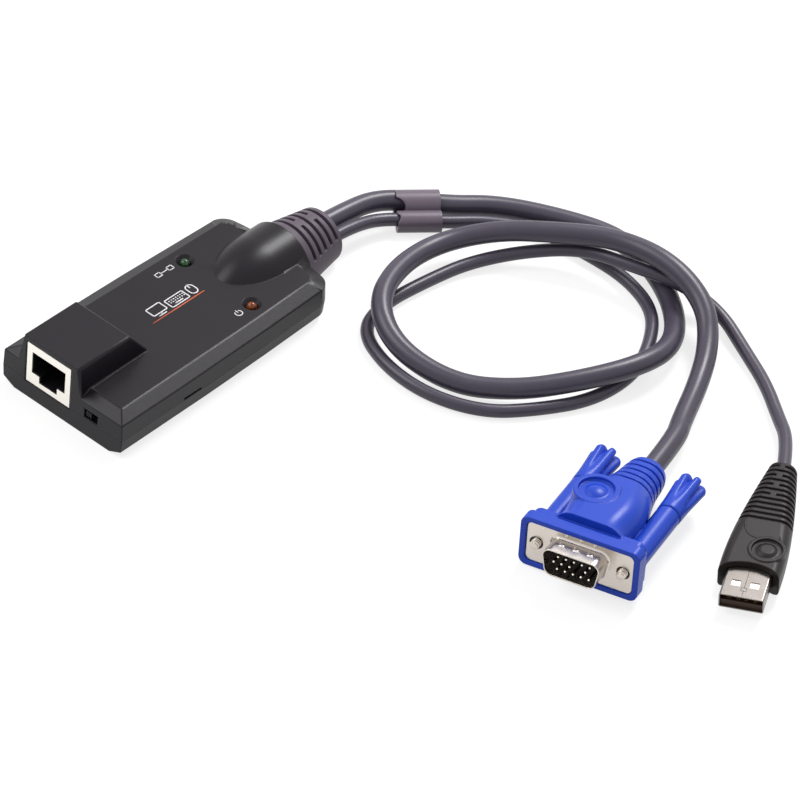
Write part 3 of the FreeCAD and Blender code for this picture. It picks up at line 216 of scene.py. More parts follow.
def brushed_metal():
    """Drawn lines and small stains of plated sheet metal."""
    group, make = new_group("Plated Sheet", [("Scale", 900.0), ("Stain", 0.12)],
                            [("Height", "NodeSocketFloat"), ("Stain", "NodeSocketFloat")])
    entry = make.add("NodeGroupInput")
    place = make.add("ShaderNodeTexCoord").outputs["Object"]
    stretch = make.add("ShaderNodeMapping", Vector=place, Scale=(1.0, 1.0, 0.12))
    lines = make.add("ShaderNodeTexNoise", Vector=stretch.outputs[0], Scale=entry.outputs["Scale"], Detail=4.0)
    stains = make.add("ShaderNodeTexNoise", Vector=place, Scale=420.0, Detail=3.0)
    leave = make.add("NodeGroupOutput")
    make.put(leave.inputs["Height"], lines.outputs["Fac"])
    make.put(leave.inputs["Stain"], make.math("MULTIPLY", make.ramp(stains.outputs["Fac"], 0.45, 0.8),
                                              entry.outputs["Stain"]))
    return group


# ---------- finishes


DUST_LIFT = 0.004
LINE_DEPTH = 0.02 * MM


def new_material(name, base, roughness, **fixed):
    """A material with its Principled shader, and the means to add to it."""
    material = bpy.data.materials.get(name)
    if material:
        return material, None, None
    material = bpy.data.materials.new(name)
    material.use_nodes = True
    material.diffuse_color = (*base, 1)
    shader = material.node_tree.nodes["Principled BSDF"]
    shader.inputs["Base Color"].default_value = (*base, 1)
    shader.inputs["Roughness"].default_value = roughness
    for key, value in fixed.items():
        shader.inputs[key.replace("_", " ")].default_value = value
    return material, Nodes(material.node_tree), shader


def place_group(make, name, build, **values):
    """Places a shared group in a material, built when it is first needed, with the material's own values."""
    node = make.tree.nodes.new("ShaderNodeGroup")
    node.node_tree = bpy.data.node_groups.get(name) or build()
    for key, value in values.items():
        node.inputs[key.replace("_", " ")].default_value = value
    return node


def scaled(base, times, lift=0.0):
    """A colour made darker or paler, and lifted a little."""
    return tuple(min(1.0, part * times + lift) for part in base)


def tinted(make, base, other, mask):
    """A base colour that goes towards another one by a mask."""
    mix = make.add("ShaderNodeMix", {"data_type": "RGBA"})
    mix.inputs["A"].default_value = (*base, 1)
    mix.inputs["B"].default_value = (*other, 1)
    make.put(mix.inputs["Factor"], mask)
    return mix.outputs["Result"]


def bumped(make, shader, height, strength, distance, edge=0.0):
    """Puts a fine height on the surface, over edges that are rounded off to a radius."""
    bump = make.add("ShaderNodeBump", Height=height, Strength=strength, Distance=distance)
    if edge:
        rounded = make.add("ShaderNodeBevel", {"samples": 4}, Radius=edge)
        make.put(bump.inputs["Normal"], rounded.outputs["Normal"])
    make.put(shader.inputs["Normal"], bump.outputs["Normal"])


def moulded(name, base, roughness, grain=0.25, drift=0.06, dust=0.1, edge=0.15 * MM, scale=5200.0, patches=260.0,
            pale=1.5, depth=0.04 * MM, **fixed):
    """Moulded plastic: grain, a drifting gloss and a little handling."""
    material, make, shader = new_material(name, base, roughness, **fixed)
    if make:
        surface = place_group(make, "Moulded Grain", moulded_grain, Scale=scale, Drift=drift)
        handled = place_group(make, "Handled Surface", handled_surface, Scale=patches, Amount=dust)
        dusty = scaled(base, pale, DUST_LIFT)
        make.put(shader.inputs["Base Color"], tinted(make, base, dusty, handled.outputs["Mask"]))
        make.put(shader.inputs["Roughness"], make.math("ADD", surface.outputs["Gloss Drift"], roughness))
        bumped(make, shader, surface.outputs["Height"], grain, depth, edge)
    return material


def metal(name, base, roughness, lines=0.12, stain=0.15):
    """Plated sheet metal with drawn lines and slight stains."""
    material, make, shader = new_material(name, base, roughness, Metallic=1.0)
    if make:
        sheet = place_group(make, "Plated Sheet", brushed_metal, Stain=stain)
        dull = scaled(base, 0.55)
        make.put(shader.inputs["Base Color"], tinted(make, base, dull, sheet.outputs["Stain"]))
        make.put(shader.inputs["Roughness"], make.math("ADD", sheet.outputs["Stain"], roughness))
        bumped(make, shader, sheet.outputs["Height"], lines, LINE_DEPTH)
    return material


def housing_plastic():
    return moulded("Housing Plastic", tuple(colours().housing), 0.34, grain=0.3, dust=0.05, edge=0.35 * MM,
                   Specular_IOR_Level=0.24)


def relief_plastic():
    return moulded("Relief Plastic", tuple(colours().relief), 0.5, grain=0.25, Specular_IOR_Level=0.3)


def clip_plastic():
    """The relief's plastic, paler on the thin clip."""
    return moulded("Clip Plastic", scaled(colours().relief, 1.3), 0.38, grain=0.2, edge=0.3 * MM)


def video_plug_plastic():
    return moulded("Video Plug Plastic", tuple(colours().video_plug), 0.34, grain=0.12, dust=0.03,
                   Specular_IOR_Level=0.28)


def usb_plug_plastic():
    return moulded("USB Plug Plastic", tuple(colours().usb_plug), 0.42, grain=0.2, dust=0.06,
                   Specular_IOR_Level=0.25)


def dark_insulator():
    return moulded("Dark Insulator", (0.006, 0.0055, 0.007), 0.35, grain=0.1, edge=0, Specular_IOR_Level=0.3)


def brown_insulator():
    return moulded("Brown Insulator", (0.035, 0.017, 0.010), 0.4, grain=0.1, edge=0, Specular_IOR_Level=0.3)


def cable_jacket():
    """Soft vinyl: a coarse soft grain and rubbed patches."""
    return moulded("Cable Jacket", tuple(colours().jacket), 0.36, grain=0.10, drift=0.12, dust=0.25, edge=0,
                   scale=2600.0, patches=180.0, pale=1.35, depth=0.05 * MM, Specular_IOR_Level=0.45)


def plated_steel():
    return metal("Plated Steel", (0.60, 0.55, 0.50), 0.26, stain=0.1)


def dark_steel():
    return metal("Dark Steel", (0.10, 0.095, 0.09), 0.4)


def bright_tin():
    return metal("Bright Tin", (0.95, 0.94, 0.92), 0.45, stain=0.05)


def usb_steel():
    return metal("Pressed Plug Steel", (0.235, 0.212, 0.197), 0.3, lines=0.05, stain=0.04)


def jack_steel():
    return metal("Jack Steel", (0.90, 0.87, 0.81), 0.5, lines=0.05, stain=0.05)


def contact_gold():
    return metal("Contact Gold", (0.83, 0.62, 0.26), 0.25, lines=0.04, stain=0.05)


def pale_gold():
    """Gold that is bright at the pins' round tips and dull down in the shroud's shade."""
    bright, dull, roughness = (0.95, 0.89, 0.76), (0.10, 0.085, 0.06), 0.3
    material, make, shader = new_material("Pale Gold", bright, roughness, Metallic=1.0)
    if make:
        ahead = VIDEO_PLUG.to_3x3() @ Vector((1, 0, 0))
        depth = make.add("ShaderNodeVectorMath", {"operation": "DOT_PRODUCT"})
        make.put(depth.inputs[0], make.add("ShaderNodeTexCoord").outputs["Object"])
        make.put(depth.inputs[1], ahead)
        tip = VIDEO_PLUG.translation.dot(ahead) + PIN_REACH
        mask = make.ramp(depth.outputs["Value"], tip - 0.9 * MM, tip - 0.2 * MM)
        sheet = place_group(make, "Plated Sheet", brushed_metal, Stain=0.05)
        make.put(shader.inputs["Base Color"], tinted(make, dull, bright, mask))
        make.put(shader.inputs["Roughness"], make.math("ADD", sheet.outputs["Stain"], roughness))
        bumped(make, shader, sheet.outputs["Height"], 0.04, LINE_DEPTH)
    return material


def screw_steel():
    return metal("Screw Steel", (0.60, 0.54, 0.48), 0.24, lines=0.05)


def board_material():
    return moulded("Board Mask", (0.010, 0.075, 0.035), 0.4, grain=0.1)


def header_plastic():
    return moulded("Header Plastic", (0.55, 0.53, 0.48), 0.5)


def lens(name, base):
    """A lamp's tinted clear lens, cloudy inside."""
    material, make, shader = new_material(
        name, base, 0.12, Coat_Weight=0.2, Coat_Roughness=0.05, Specular_IOR_Level=0.3
    )
    if make:
        place = make.add("ShaderNodeTexCoord").outputs["Object"]
        inside = make.add("ShaderNodeTexNoise", Vector=place, Scale=1400.0, Detail=2.0)
        cloud = make.ramp(inside.outputs["Fac"], 0.4, 0.6)
        make.put(shader.inputs["Base Color"], tinted(make, base, scaled(base, 0.25), cloud))
    return material


def ink(name, base):
    """Screen-printed ink, worn in patches, with an uneven gloss."""
    roughness = 0.5
    material, make, shader = new_material(name, base, roughness)
    if make:
        surface = place_group(make, "Moulded Grain", moulded_grain, Drift=0.2)
        handled = place_group(make, "Handled Surface", handled_surface, Scale=900.0, Amount=0.2)
        make.put(shader.inputs["Base Color"], tinted(make, base, scaled(base, 0.6), handled.outputs["Mask"]))
        make.put(shader.inputs["Roughness"], make.math("ADD", surface.outputs["Gloss Drift"], roughness))
    return material


# ---------- mesh tools

SHARP = 40
WELD = 1e-6
FLAT_TURN = math.radians(0.6)
STRAY_SHARE = 0.6


def dress(item, material):
    item.data.materials.clear()
    item.data.materials.append(material)


def finish_piece(item, body, slot, material, *replaced):
    """Gives a piece its finish, the body it moves with, and the CAD nodes that it stands for."""
    dress(item, material)
    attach(item, body)
    if replaced:
        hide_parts(*replaced)
    return item


def dress_nodes(**finishes):
    """Gives CAD nodes that stay as they are their finish."""
    for node, material in finishes.items():
        dress(NODES[node], material)


def new_object(name, mesh):
    item = bpy.data.objects.new(name, mesh)
    bpy.context.scene.collection.objects.link(item)
    return item


def mesh_object(name, bm, place=None, sharp=SHARP):
    """An object from a bmesh, its place in its mesh, with smooth faces between its sharp edges."""
    if place is not None:
        bmesh.ops.transform(bm, matrix=place, verts=bm.verts)
    mesh = bpy.data.meshes.new(name)
    bm.to_mesh(mesh)
    bm.free()
    item = new_object(name, mesh)
    smooth(item, sharp)
    return item


def smooth(item, sharp):
    """Shades a piece smooth, but for the edges that turn by more than an angle."""
    item.data.shade_smooth()
    item.data.set_sharp_from_angle(angle=math.radians(sharp))


def applied(item):
    """Replaces an object's mesh by what its modifiers make of it."""
    bpy.context.view_layer.update()
    mesh = bpy.data.meshes.new_from_object(item.evaluated_get(bpy.context.evaluated_depsgraph_get()))
    item.modifiers.clear()
    item.data = mesh
    return item


def weld(bm):
    bmesh.ops.remove_doubles(bm, verts=bm.verts, dist=WELD)
    return bm


def merged(node):
    """A copy of a CAD node's mesh with its loose triangles joined."""
    bm = bmesh.new()
    bm.from_mesh(NODES[node].data)
    return weld(bm)


def softened(name, node, width, hollow=None, shortest=(0, 0), limit=28, segments=3, reshape=None, above=-1):
    """A copy of a CAD node with its outer edges rounded by a width and its inner corners by another.

    Edges stay sharp where they turn by less than the limit, are shorter than the shortest outer edge or
    inner corner, or lie no higher than a level.
    """
    bm = merged(node)
    if reshape:
        reshape(bm)
    surface = BVHTree.FromBMesh(bm)
    bmesh.ops.dissolve_limit(bm, angle_limit=FLAT_TURN, verts=bm.verts, edges=bm.edges)
    widths = (width, width if hollow is None else hollow)
    weight = bm.edges.layers.float.new("bevel_weight_edge")
    for edge in bm.edges:
        turn = edge.calc_face_angle_signed(0)
        kind = 0 if turn > 0 else 1
        high = max(vertex.co.z for vertex in edge.verts) > above
        if high and abs(turn) > math.radians(limit) and edge.calc_length() > shortest[kind]:
            edge[weight] = widths[kind] / max(widths)
    item = mesh_object(name, bm, sharp=limit)
    bevel = item.modifiers.new("Edges", "BEVEL")
    bevel.width = max(widths)
    bevel.segments = segments
    bevel.limit_method = "WEIGHT"
    bevel.use_clamp_overlap = False
    even = item.modifiers.new("Even Shading", "WEIGHTED_NORMAL")
    even.keep_sharp = True
    even.weight = 100
    applied(item)
    for vertex in item.data.vertices:
        place, _, _, away = surface.find_nearest(vertex.co)
        if away > max(widths) * STRAY_SHARE:
            vertex.co = place
    return item


def soft_piece(name, node, slot, material, *widths, **shape):
    """A softened copy of a CAD node, finished, that stands for it on the housing's body."""
    return finish_piece(softened(name, node, *widths, **shape), HOUSING, slot, material, node)


def joined(name, items):
    """One piece made of several, which are then removed."""
    bm = bmesh.new()
    for item in items:
        bm.from_mesh(item.data)
        bpy.data.objects.remove(item)
    return mesh_object(name, bm)


def block(bm, low, high):
    """A box between two corners."""
    size = Vector(high) - Vector(low)
    place = Matrix.Translation((Vector(low) + Vector(high)) / 2) @ Matrix.Diagonal((*size, 1))
    bmesh.ops.create_cube(bm, size=1.0, matrix=place)


def row_tree():
    """A tree that sets copies of a part in a row: how many, the step between them, and their finish."""
    tree = bpy.data.node_groups.get("Row of Parts")
    if tree:
        return tree
    tree = bpy.data.node_groups.new("Row of Parts", "GeometryNodeTree")
    for label, kind in (("Part", "Geometry"), ("Count", "Int"), ("Step", "Vector"), ("Finish", "Material")):
        tree.interface.new_socket(label, in_out="INPUT", socket_type="NodeSocket" + kind)
    tree.interface.new_socket("Row", in_out="OUTPUT", socket_type="NodeSocketGeometry")
    make = Nodes(tree)
    entry = make.add("NodeGroupInput").outputs
    line = make.add("GeometryNodeMeshLine", {"mode": "OFFSET"}, Count=entry["Count"], Offset=entry["Step"])
    copies = make.add("GeometryNodeInstanceOnPoints", Points=line.outputs[0], Instance=entry["Part"])
    real = make.add("GeometryNodeRealizeInstances", Geometry=copies.outputs[0])
    coated = make.add("GeometryNodeSetMaterial", Geometry=real.outputs[0], Material=entry["Finish"])
    make.put(make.add("NodeGroupOutput").inputs["Row"], coated.outputs[0])
    return tree


def row(name, bm, count, step, material, place=None):
    """Copies of one small part in a row, as one plain mesh."""
    item = mesh_object(name, bm)
    rows = item.modifiers.new("Row", "NODES")
    rows.node_group = row_tree()
    values = {"Count": count, "Step": [float(part) for part in step], "Finish": material}
    for socket in rows.node_group.interface.items_tree:
        if socket.name in values:
            rows[socket.identifier] = values[socket.name]
    applied(item)
    if place is not None:
        item.data.transform(place)
    smooth(item, SHARP)
    return item


def skin(bm, rings, ends=True):
    """A skin over rings of points, with or without flat ends."""
    rows = [[bm.verts.new(point) for point in ring] for ring in rings]
    count = len(rows[0])
    for row, after in zip(rows, rows[1:]):
        for place in range(count):
            ahead = (place + 1) % count
            bm.faces.new((row[place], row[ahead], after[ahead], after[place]))
    if ends:
        bm.faces.new(list(reversed(rows[0])))
        bm.faces.new(rows[-1])
    bmesh.ops.recalc_face_normals(bm, faces=bm.faces)


def turns(count):
    """Even angles round a full turn."""
    return [FULL_TURN * step / count for step in range(count)]


def circle_ring(x, radius, count, across=0.0, up=0.0):
    """A ring of points round the X axis, or round a line beside it."""
    return [Vector((x, across + radius * math.cos(turn), up + radius * math.sin(turn))) for turn in turns(count)]


def ease(value, start, end):
    """A smooth step from 0 at one value to 1 at another."""
    share = min(1.0, max(0.0, (value - start) / (end - start)))
    return share * share * (3 - 2 * share)


# ---------- cables

# The points that guide the cables, in millimetres.
JACKET_STEPS = 12
JACKET_SIDES = 8
VIDEO_ROUTE = [
    (-1.8, 51.85, 7.0), (-1.6, 60, 6.9), (0, 77, 5.4), (14, 89.3, 3.9), (23.5, 101.3, 3.2), (40, 110.5, 3.0),
    (56, 116, 3.0), (72, 112.5, 3.0), (88, 102.5, 3.0), (98.5, 88, 5.3), (98.6, 72, 7.6), (90.5, 55.5, 6.8),
    (80, 42, 5.0), (66, 32.6, 3.8), (46.5, 31, 5.4), (33, 38, 9.0), (26, 54, 8.4), (25, 73, 6.2), (35, 87, 9.0),
    (49.2, 96.6, 11.4), (63, 105.4, 12.6), (81, 107, 14.0), (96.5, 104, 10.0), (105.4, 95, 5.6), (112, 82.5, 3.6),
    (119, 66, 4.2), (123.10, 58.34, 5.41), (127.33, 40.88, 6.51),
]
USB_ROUTE = [
    (3.8, 51.85, 6.8), (4, 60, 6.5), (6, 72, 4.2), (17, 83, 3.1), (25.5, 94.6, 2.3), (38, 103, 1.9),
    (54, 104.8, 1.9), (69, 104.6, 1.9), (83, 99, 1.9), (91.5, 87, 1.9), (96.5, 73, 1.9), (95, 57, 1.9),
    (87, 43, 1.9), (78, 32, 1.9), (63, 26, 1.9), (47, 26.6, 1.9), (32.5, 33, 1.9), (29, 46, 1.9), (31, 63, 1.9),
    (34, 77, 2.2), (43, 90, 4.4), (55, 101, 6.4), (70, 103.3, 8.4), (85, 107.9, 8.2), (97, 111.3, 3.2),
    (111, 104.6, 1.9), (124, 97.6, 1.9), (134.5, 89.5, 1.9), (143.6, 82.0, 3.4), (151.35, 69.49, 4.7),
]


def cable(name, route, diameter, node):
    """A cable whose round jacket follows a smooth line guided by its route."""
    curve = bpy.data.curves.new(name, "CURVE")
    curve.dimensions = "3D"
    spline = curve.splines.new("NURBS")
    spline.points.add(len(route) - 1)
    for point, place in zip(spline.points, route):
        point.co = (*(part * MM for part in place), 1)
    spline.order_u = 3
    spline.use_endpoint_u = True
    spline.resolution_u = JACKET_STEPS
    curve.bevel_depth = diameter / 2
    curve.bevel_resolution = JACKET_SIDES
    curve.use_fill_caps = True
    item = new_object(name, curve)
    finish_piece(item, HOUSING, "cable_jacket", cable_jacket(), node)
    return item


# ---------- drawn shapes


class Pen:
    """Draws flat marks and lines as thin slabs on a plane of its own."""

    def __init__(self, width):
        self.bm = bmesh.new()
        self.width = width

    def patch(self, points):
        self.bm.faces.new([self.bm.verts.new((*point, 0)) for point in points])

    def bar(self, start, end, width=None):
        start, end = Vector(start), Vector(end)
        side = (end - start).orthogonal().normalized() * (width or self.width) / 2
        self.patch((start - side, end - side, end + side, start + side))

    def arc(self, middle, radius, start=0.0, sweep=360.0, steps=36):
        rings = [[Vector(middle) + Vector((math.cos(turn), math.sin(turn))) * (radius + side * self.width / 2)
                  for side in (-1, 1)]
                 for turn in (math.radians(start + sweep * step / steps) for step in range(steps + 1))]
        for first, last in zip(rings, rings[1:]):
            self.patch((first[0], first[1], last[1], last[0]))

    def frame(self, low, high, corner=0.0):
        """A rectangle's outline with rounded corners."""
        for side in (0, 1):
            across = (low[0], high[0])[side]
            along = (low[1], high[1])[side]
            self.bar((across, low[1] + corner), (across, high[1] - corner))
            self.bar((low[0] + corner, along), (high[0] - corner, along))
        if corner:
            for turn, across, along in ((0, high[0], high[1]), (90, low[0], high[1]), (180, low[0], low[1]),
                                        (270, high[0], low[1])):
                inward = Vector((-1 if across == high[0] else 1, -1 if along == high[1] else 1)) * corner
                self.arc(Vector((across, along)) + inward, corner, turn, 90, 8)

    def finish(self, name, place, thickness=0.05 * MM):
        """Gives the marks their thickness, half of it sunk, and puts them in their place."""
        bmesh.ops.remove_doubles(self.bm, verts=self.bm.verts, dist=1e-7)
        bmesh.ops.recalc_face_normals(self.bm, faces=self.bm.faces)
        item = mesh_object(name, self.bm, place)
        solid = item.modifiers.new("Thickness", "SOLIDIFY")
        solid.thickness = thickness
        solid.offset = 0
        return applied(item)


PRINT_PROUD = 0.01 * MM
ICON_CORNER = 0.4 * MM
SMALL_LINE = 0.8
KEYS_IN_A_ROW = 7
# The icons' sizes, in millimetres.
KEY_PITCH = 0.86
KEY_SIZE = 0.42
MOUSE_MIDDLE = 7.5
MOUSE_RADIUS = 1.3
MOUSE_HALF = 0.6


def on_plateau(across, along):
    """A place on the housing's flat top, in millimetres, turned so that +X runs along the housing."""
    turn = Matrix.Rotation(math.radians(90), 4, "Z")
    return Matrix.Translation((across * MM, along * MM, PLATEAU + PRINT_PROUD)) @ turn


def mm(*values):
    """Lengths in millimetres, as metres."""
    return tuple(value * MM for value in values)


def printed_icons():
    """A screen, a keyboard and a mouse, drawn in outline, in millimetres from their middle."""
    pen = Pen(sizes().print_line)
    pen.frame(mm(-8.4, -1.0), mm(-3.2, 2.3), ICON_CORNER)
    pen.bar(mm(-5.8, -1.0), mm(-5.8, -1.9))
    pen.bar(mm(-7.3, -1.9), mm(-4.3, -1.9))
    pen.frame(mm(-1.9, -1.9), mm(4.9, 1.5), ICON_CORNER)
    for line in (0.55, -0.25):
        for key in range(KEYS_IN_A_ROW):
            start = -1.05 + key * KEY_PITCH
            pen.bar(mm(start, line), mm(start + KEY_SIZE, line), KEY_SIZE * MM)
    pen.bar(mm(0.0, -1.1), mm(3.0, -1.1), KEY_SIZE * MM)
    for side, start in ((1, 0), (-1, 180)):
        pen.arc(mm(MOUSE_MIDDLE, side * MOUSE_HALF), MOUSE_RADIUS * MM, start, 180)
    for side in (-1, 1):
        wall = MOUSE_MIDDLE + side * MOUSE_RADIUS
        pen.bar(mm(wall, MOUSE_HALF), mm(wall, -MOUSE_HALF))
    pen.bar(mm(MOUSE_MIDDLE, MOUSE_HALF + MOUSE_RADIUS), mm(MOUSE_MIDDLE, 0.5))
    return pen.finish("printed_icons", on_plateau(-3.0, -5.9))


def link_mark():
    """Two boxes joined by a line, beside the left lamp."""
    pen = Pen(sizes().print_line * SMALL_LINE)
    pen.frame(mm(-3.2, -0.75), mm(-1.4, 0.75))
    pen.frame(mm(1.4, -0.75), mm(3.2, 0.75))
    pen.bar(mm(-1.4, 0), mm(1.4, 0))
    return pen.finish("printed_link_mark", on_plateau(-13.2, 1.6))


def on_mark():
    """A broken ring with a stroke, beside the right lamp."""
    pen = Pen(sizes().print_line * SMALL_LINE)
    pen.arc((0, 0), 1.05 * MM, 125, 290)
    pen.bar(mm(0, 0.2), mm(0, 1.35))
    return pen.finish("printed_on_mark", on_plateau(12.7, 3.6))


def printed_rule():
    """The coloured line under the icons."""
    pen = Pen(sizes().print_line)
    pen.bar(mm(-10.1, 0), mm(10.1, 0))
    return pen.finish("printed_rule", on_plateau(-0.2, -6.5))


# ---------- plug pieces

BUMP_SIZE = 1.9 * MM
BUMP_HEIGHT = 0.28 * MM
BUMP_SUNK = 0.1 * MM
BUMP_OUT = 2.35 * MM
BUMP_PITCH = 4.1 * MM
SHROUD_TOP = 4.18 * MM
PIN_PITCH = 2.29 * MM
PIN_ROWS = 1.98 * MM
PIN_SIDES = 14
# Places along the pin and radii there, in millimetres.
PIN_PROFILE = ((-3.5, 0.36), (4.7, 0.36), (4.95, 0.30), (5.07, 0.19), (5.1, 0.06))
PIN_REACH = PIN_PROFILE[-1][0] * MM


def pillow(size, height, steps=8):
    """A low square bump with rounded sides, standing on z = 0 and sunk a little below it."""
    bm = bmesh.new()
    bmesh.ops.create_grid(bm, x_segments=steps, y_segments=steps, size=size / 2)
    for vert in bm.verts:
        across, along = (2 * part / size for part in vert.co.xy)
        vert.co.z = height * (1 - across ** 4) * (1 - along ** 4)
    rim = [edge for edge in bm.edges if edge.is_boundary]
    wall = bmesh.ops.extrude_edge_only(bm, edges=rim)["geom"]
    foot = [part for part in wall if isinstance(part, bmesh.types.BMVert)]
    bmesh.ops.translate(bm, verts=foot, vec=(0, 0, -BUMP_SUNK))
    bmesh.ops.holes_fill(bm, edges=[edge for edge in bm.edges if edge.is_boundary])
    bmesh.ops.recalc_face_normals(bm, faces=bm.faces)
    return bm


def shroud_bumps():
    """The pressed bumps along the shroud's upper and lower walls."""
    rows = []
    for side, tilt in ((1, 0), (-1, math.pi)):
        bm = pillow(BUMP_SIZE, BUMP_HEIGHT)
        bmesh.ops.translate(bm, verts=bm.verts, vec=(BUMP_OUT, -BUMP_PITCH, 0))
        wall = VIDEO_PLUG @ Matrix.Translation((0, 0, side * SHROUD_TOP)) @ Matrix.Rotation(tilt, 4, "X")
        rows.append(row("bumps", bm, 3, (0, BUMP_PITCH, 0), plated_steel(), wall))
    return joined("shroud_bumps", rows)


def contact_pins():
    """Three rows of round-tipped pins, the middle row set back by half a pitch and one place empty."""
    rows = []
    for level, first, count in ((1, 0, 5), (-1, 0, 5), (0, 0, 3), (0, 4, 1)):
        shift = 0.25 if level else -0.25
        start = ((first - 2 + shift) * PIN_PITCH, level * PIN_ROWS)
        bm = bmesh.new()
        skin(bm, [circle_ring(x * MM, radius * MM, PIN_SIDES, *start) for x, radius in PIN_PROFILE])
        rows.append(row("pins", bm, count, (0, PIN_PITCH, 0), pale_gold(), VIDEO_PLUG))
    return joined("contact_pins", rows)


HOLE_RADIUS = 1.85 * MM
HOLE_REACH = 1.7 * MM
# The outlines of the dark wells, which paint shade into the gaps round the screws, and of the shanks, in millimetres.
SHADE_WELL_RADIUS = 1.83
SHANK_RADIUS = 1.42
SHADE_WELL_FRONT = -0.45
SHADE_WELL_BACK = -0.95


def wider_holes(bm):
    """Opens the plate's screw holes to their full width."""
    into = VIDEO_PLUG.inverted()
    for vert in bm.verts:
        place = into @ vert.co
        side = 1 if place.y > 0 else -1
        away = Vector((0, place.y - side * SCREW_ACROSS, place.z))
        if away.length < HOLE_REACH:
            vert.co = VIDEO_PLUG @ (place - away + away.normalized() * HOLE_RADIUS)


def screw_wells():
    """The dark wells round the two screws, just behind the plate's face: dark rings of painted shade that make the
    gaps round the screws look black.
    """
    outline = ((SHADE_WELL_BACK, SHADE_WELL_RADIUS), (SHADE_WELL_FRONT, SHADE_WELL_RADIUS), (SHADE_WELL_FRONT, SHANK_RADIUS),
               (SHADE_WELL_BACK, SHANK_RADIUS), (SHADE_WELL_BACK, SHADE_WELL_RADIUS))
    shade_wells = []
    for side in (-1, 1):
        bm = bmesh.new()
        skin(bm, [circle_ring(x * MM, radius * MM, 32, side * SCREW_ACROSS) for x, radius in outline], ends=False)
        weld(bm)
        bmesh.ops.recalc_face_normals(bm, faces=bm.faces)
        shade_wells.append(mesh_object("well", bm, VIDEO_PLUG))
    return joined("screw_wells", shade_wells)


SHANK = ((-34.25, SHANK_RADIUS), (-5, SHANK_RADIUS), (-4.8, 1.2), (-2.6, 1.2))
SCREW_SIDES = 32
SCREW_TIP = 1.8 * MM
THREAD_START = -2.2 * MM
THREAD_FULL = -1.9 * MM
THREAD_CREST = 1.36 * MM
THREAD_DEPTH = 0.38 * MM
TIP_CHAMFER = 0.45 * MM
SLICES_A_TURN = 10


def threaded_screw(side):
    """A captive screw: a plain shank and neck, then a thread with a chamfered tip."""
    pitch = sizes().thread_pitch
    slices = int((SCREW_TIP - THREAD_START) / pitch * SLICES_A_TURN)

    def thread(x):
        full = THREAD_CREST - THREAD_DEPTH * 1.3 * ease(x, SCREW_TIP - TIP_CHAMFER, SCREW_TIP)
        ring = []
        for turn in turns(SCREW_SIDES):
            wave = abs(2 * ((x / pitch - turn / FULL_TURN) % 1) - 1)
            radius = full - THREAD_DEPTH * ease(wave, 0.1, 0.9) * ease(x, THREAD_START, THREAD_FULL)
            ring.append(Vector((x, side * SCREW_ACROSS + radius * math.cos(turn), radius * math.sin(turn))))
        return ring

    rings = [circle_ring(x * MM, radius * MM, SCREW_SIDES, side * SCREW_ACROSS) for x, radius in SHANK]
    rings += [thread(THREAD_START + (SCREW_TIP - THREAD_START) * step / slices) for step in range(slices + 1)]
    bm = bmesh.new()
    skin(bm, rings)
    return mesh_object("threaded_screw", bm, VIDEO_PLUG, sharp=70)


GRIP_FRONT = -28.25 * MM
GRIP_LENGTH = 15.6 * MM
GRIP_RADIUS = 3.52 * MM
GRIP_FLARE = 1.15 * MM
FLUTE_DEPTH = 1.0 * MM
PARTING_DEPTH = 1.25 * MM
POINTS_A_LOBE = 16
GRIP_SLICES = 48
ROUND_END = 0.12
# How the lobes' ends close: a share of the last ring's size, and how far it lies inside, in millimetres.
END_CLOSING = ((0.62, 0.05), (0.45, 0.5), (0.3, 0.9), (0.05, 1.0))


def fluted_grip(side):
    """A thumbscrew's flared grip, whose lobes part towards the tip and close in round ends."""
    lobes = sizes().lobes

    def ring(share, size=1.0, sink=0.0):
        radius = GRIP_RADIUS + GRIP_FLARE * share ** 1.3
        depth = FLUTE_DEPTH * ease(share, 0.1, 0.7) + PARTING_DEPTH * ease(share, 0.62, 1.0)
        x = GRIP_FRONT - share * GRIP_LENGTH + sink * MM
        points = []
        for turn in turns(POINTS_A_LOBE * lobes):
            valley = (0.5 + 0.5 * math.cos(turn * lobes + math.pi)) ** 2.2
            away = (radius - depth * valley) * size
            points.append(Vector((x, side * SCREW_ACROSS + away * math.cos(turn), away * math.sin(turn))))
        return points

    rings = [ring(0, 0.93), ring(0.012)]
    for share in (part / GRIP_SLICES for part in range(2, GRIP_SLICES + 1)):
        round_off = max(0.0, (share - 1 + ROUND_END) / ROUND_END)
        rings.append(ring(share, math.sqrt(1 - 0.42 * round_off ** 2)))
    rings += [ring(1.0, size, sink) for size, sink in END_CLOSING]
    bm = bmesh.new()
    skin(bm, rings)
    return mesh_object("fluted_grip", bm, VIDEO_PLUG, sharp=60)


CAST_FROM = 20 * MM


def bead_on(name, node, place, points, radius, sides=8):
    """A thin bead along points in a plug's plane, laid on a node's upper surface."""
    surface = BVHTree.FromBMesh(merged(node))
    up = place.to_3x3() @ Vector((0, 0, 1))
    hits = [surface.ray_cast(place @ Vector((*mm(*point), CAST_FROM)), -up)[0] for point in points]
    hits = [hit for hit in hits if hit is not None]
    bm = bmesh.new()
    rings = []
    for step, hit in enumerate(hits):
        ahead = (hits[min(step + 1, len(hits) - 1)] - hits[max(step - 1, 0)]).normalized()
        side = ahead.cross(up).normalized()
        size = radius * (0.3 if step in (0, len(hits) - 1) else 1.0)
        rings.append([hit + (side * math.cos(turn) + up * 0.5 * math.sin(turn)) * size for turn in turns(sides)])
    skin(bm, rings)
    return mesh_object(name, bm)


def bent_line(stops, steps=10):
    """Points along a smooth line through stops."""
    points = []
    for count in range(len(stops) - 1):
        before, first, last, after = (Vector(stops[max(0, min(len(stops) - 1, count + step))])
                                      for step in (-1, 0, 1, 2))
        for step in range(steps):
            share = step / steps
            points.append(0.5 * (2 * first + (last - before) * share
                                 + (2 * before - 5 * first + 4 * last - after) * share ** 2
                                 + (3 * first - before - 3 * last + after) * share ** 3))
    return points + [Vector(stops[-1])]


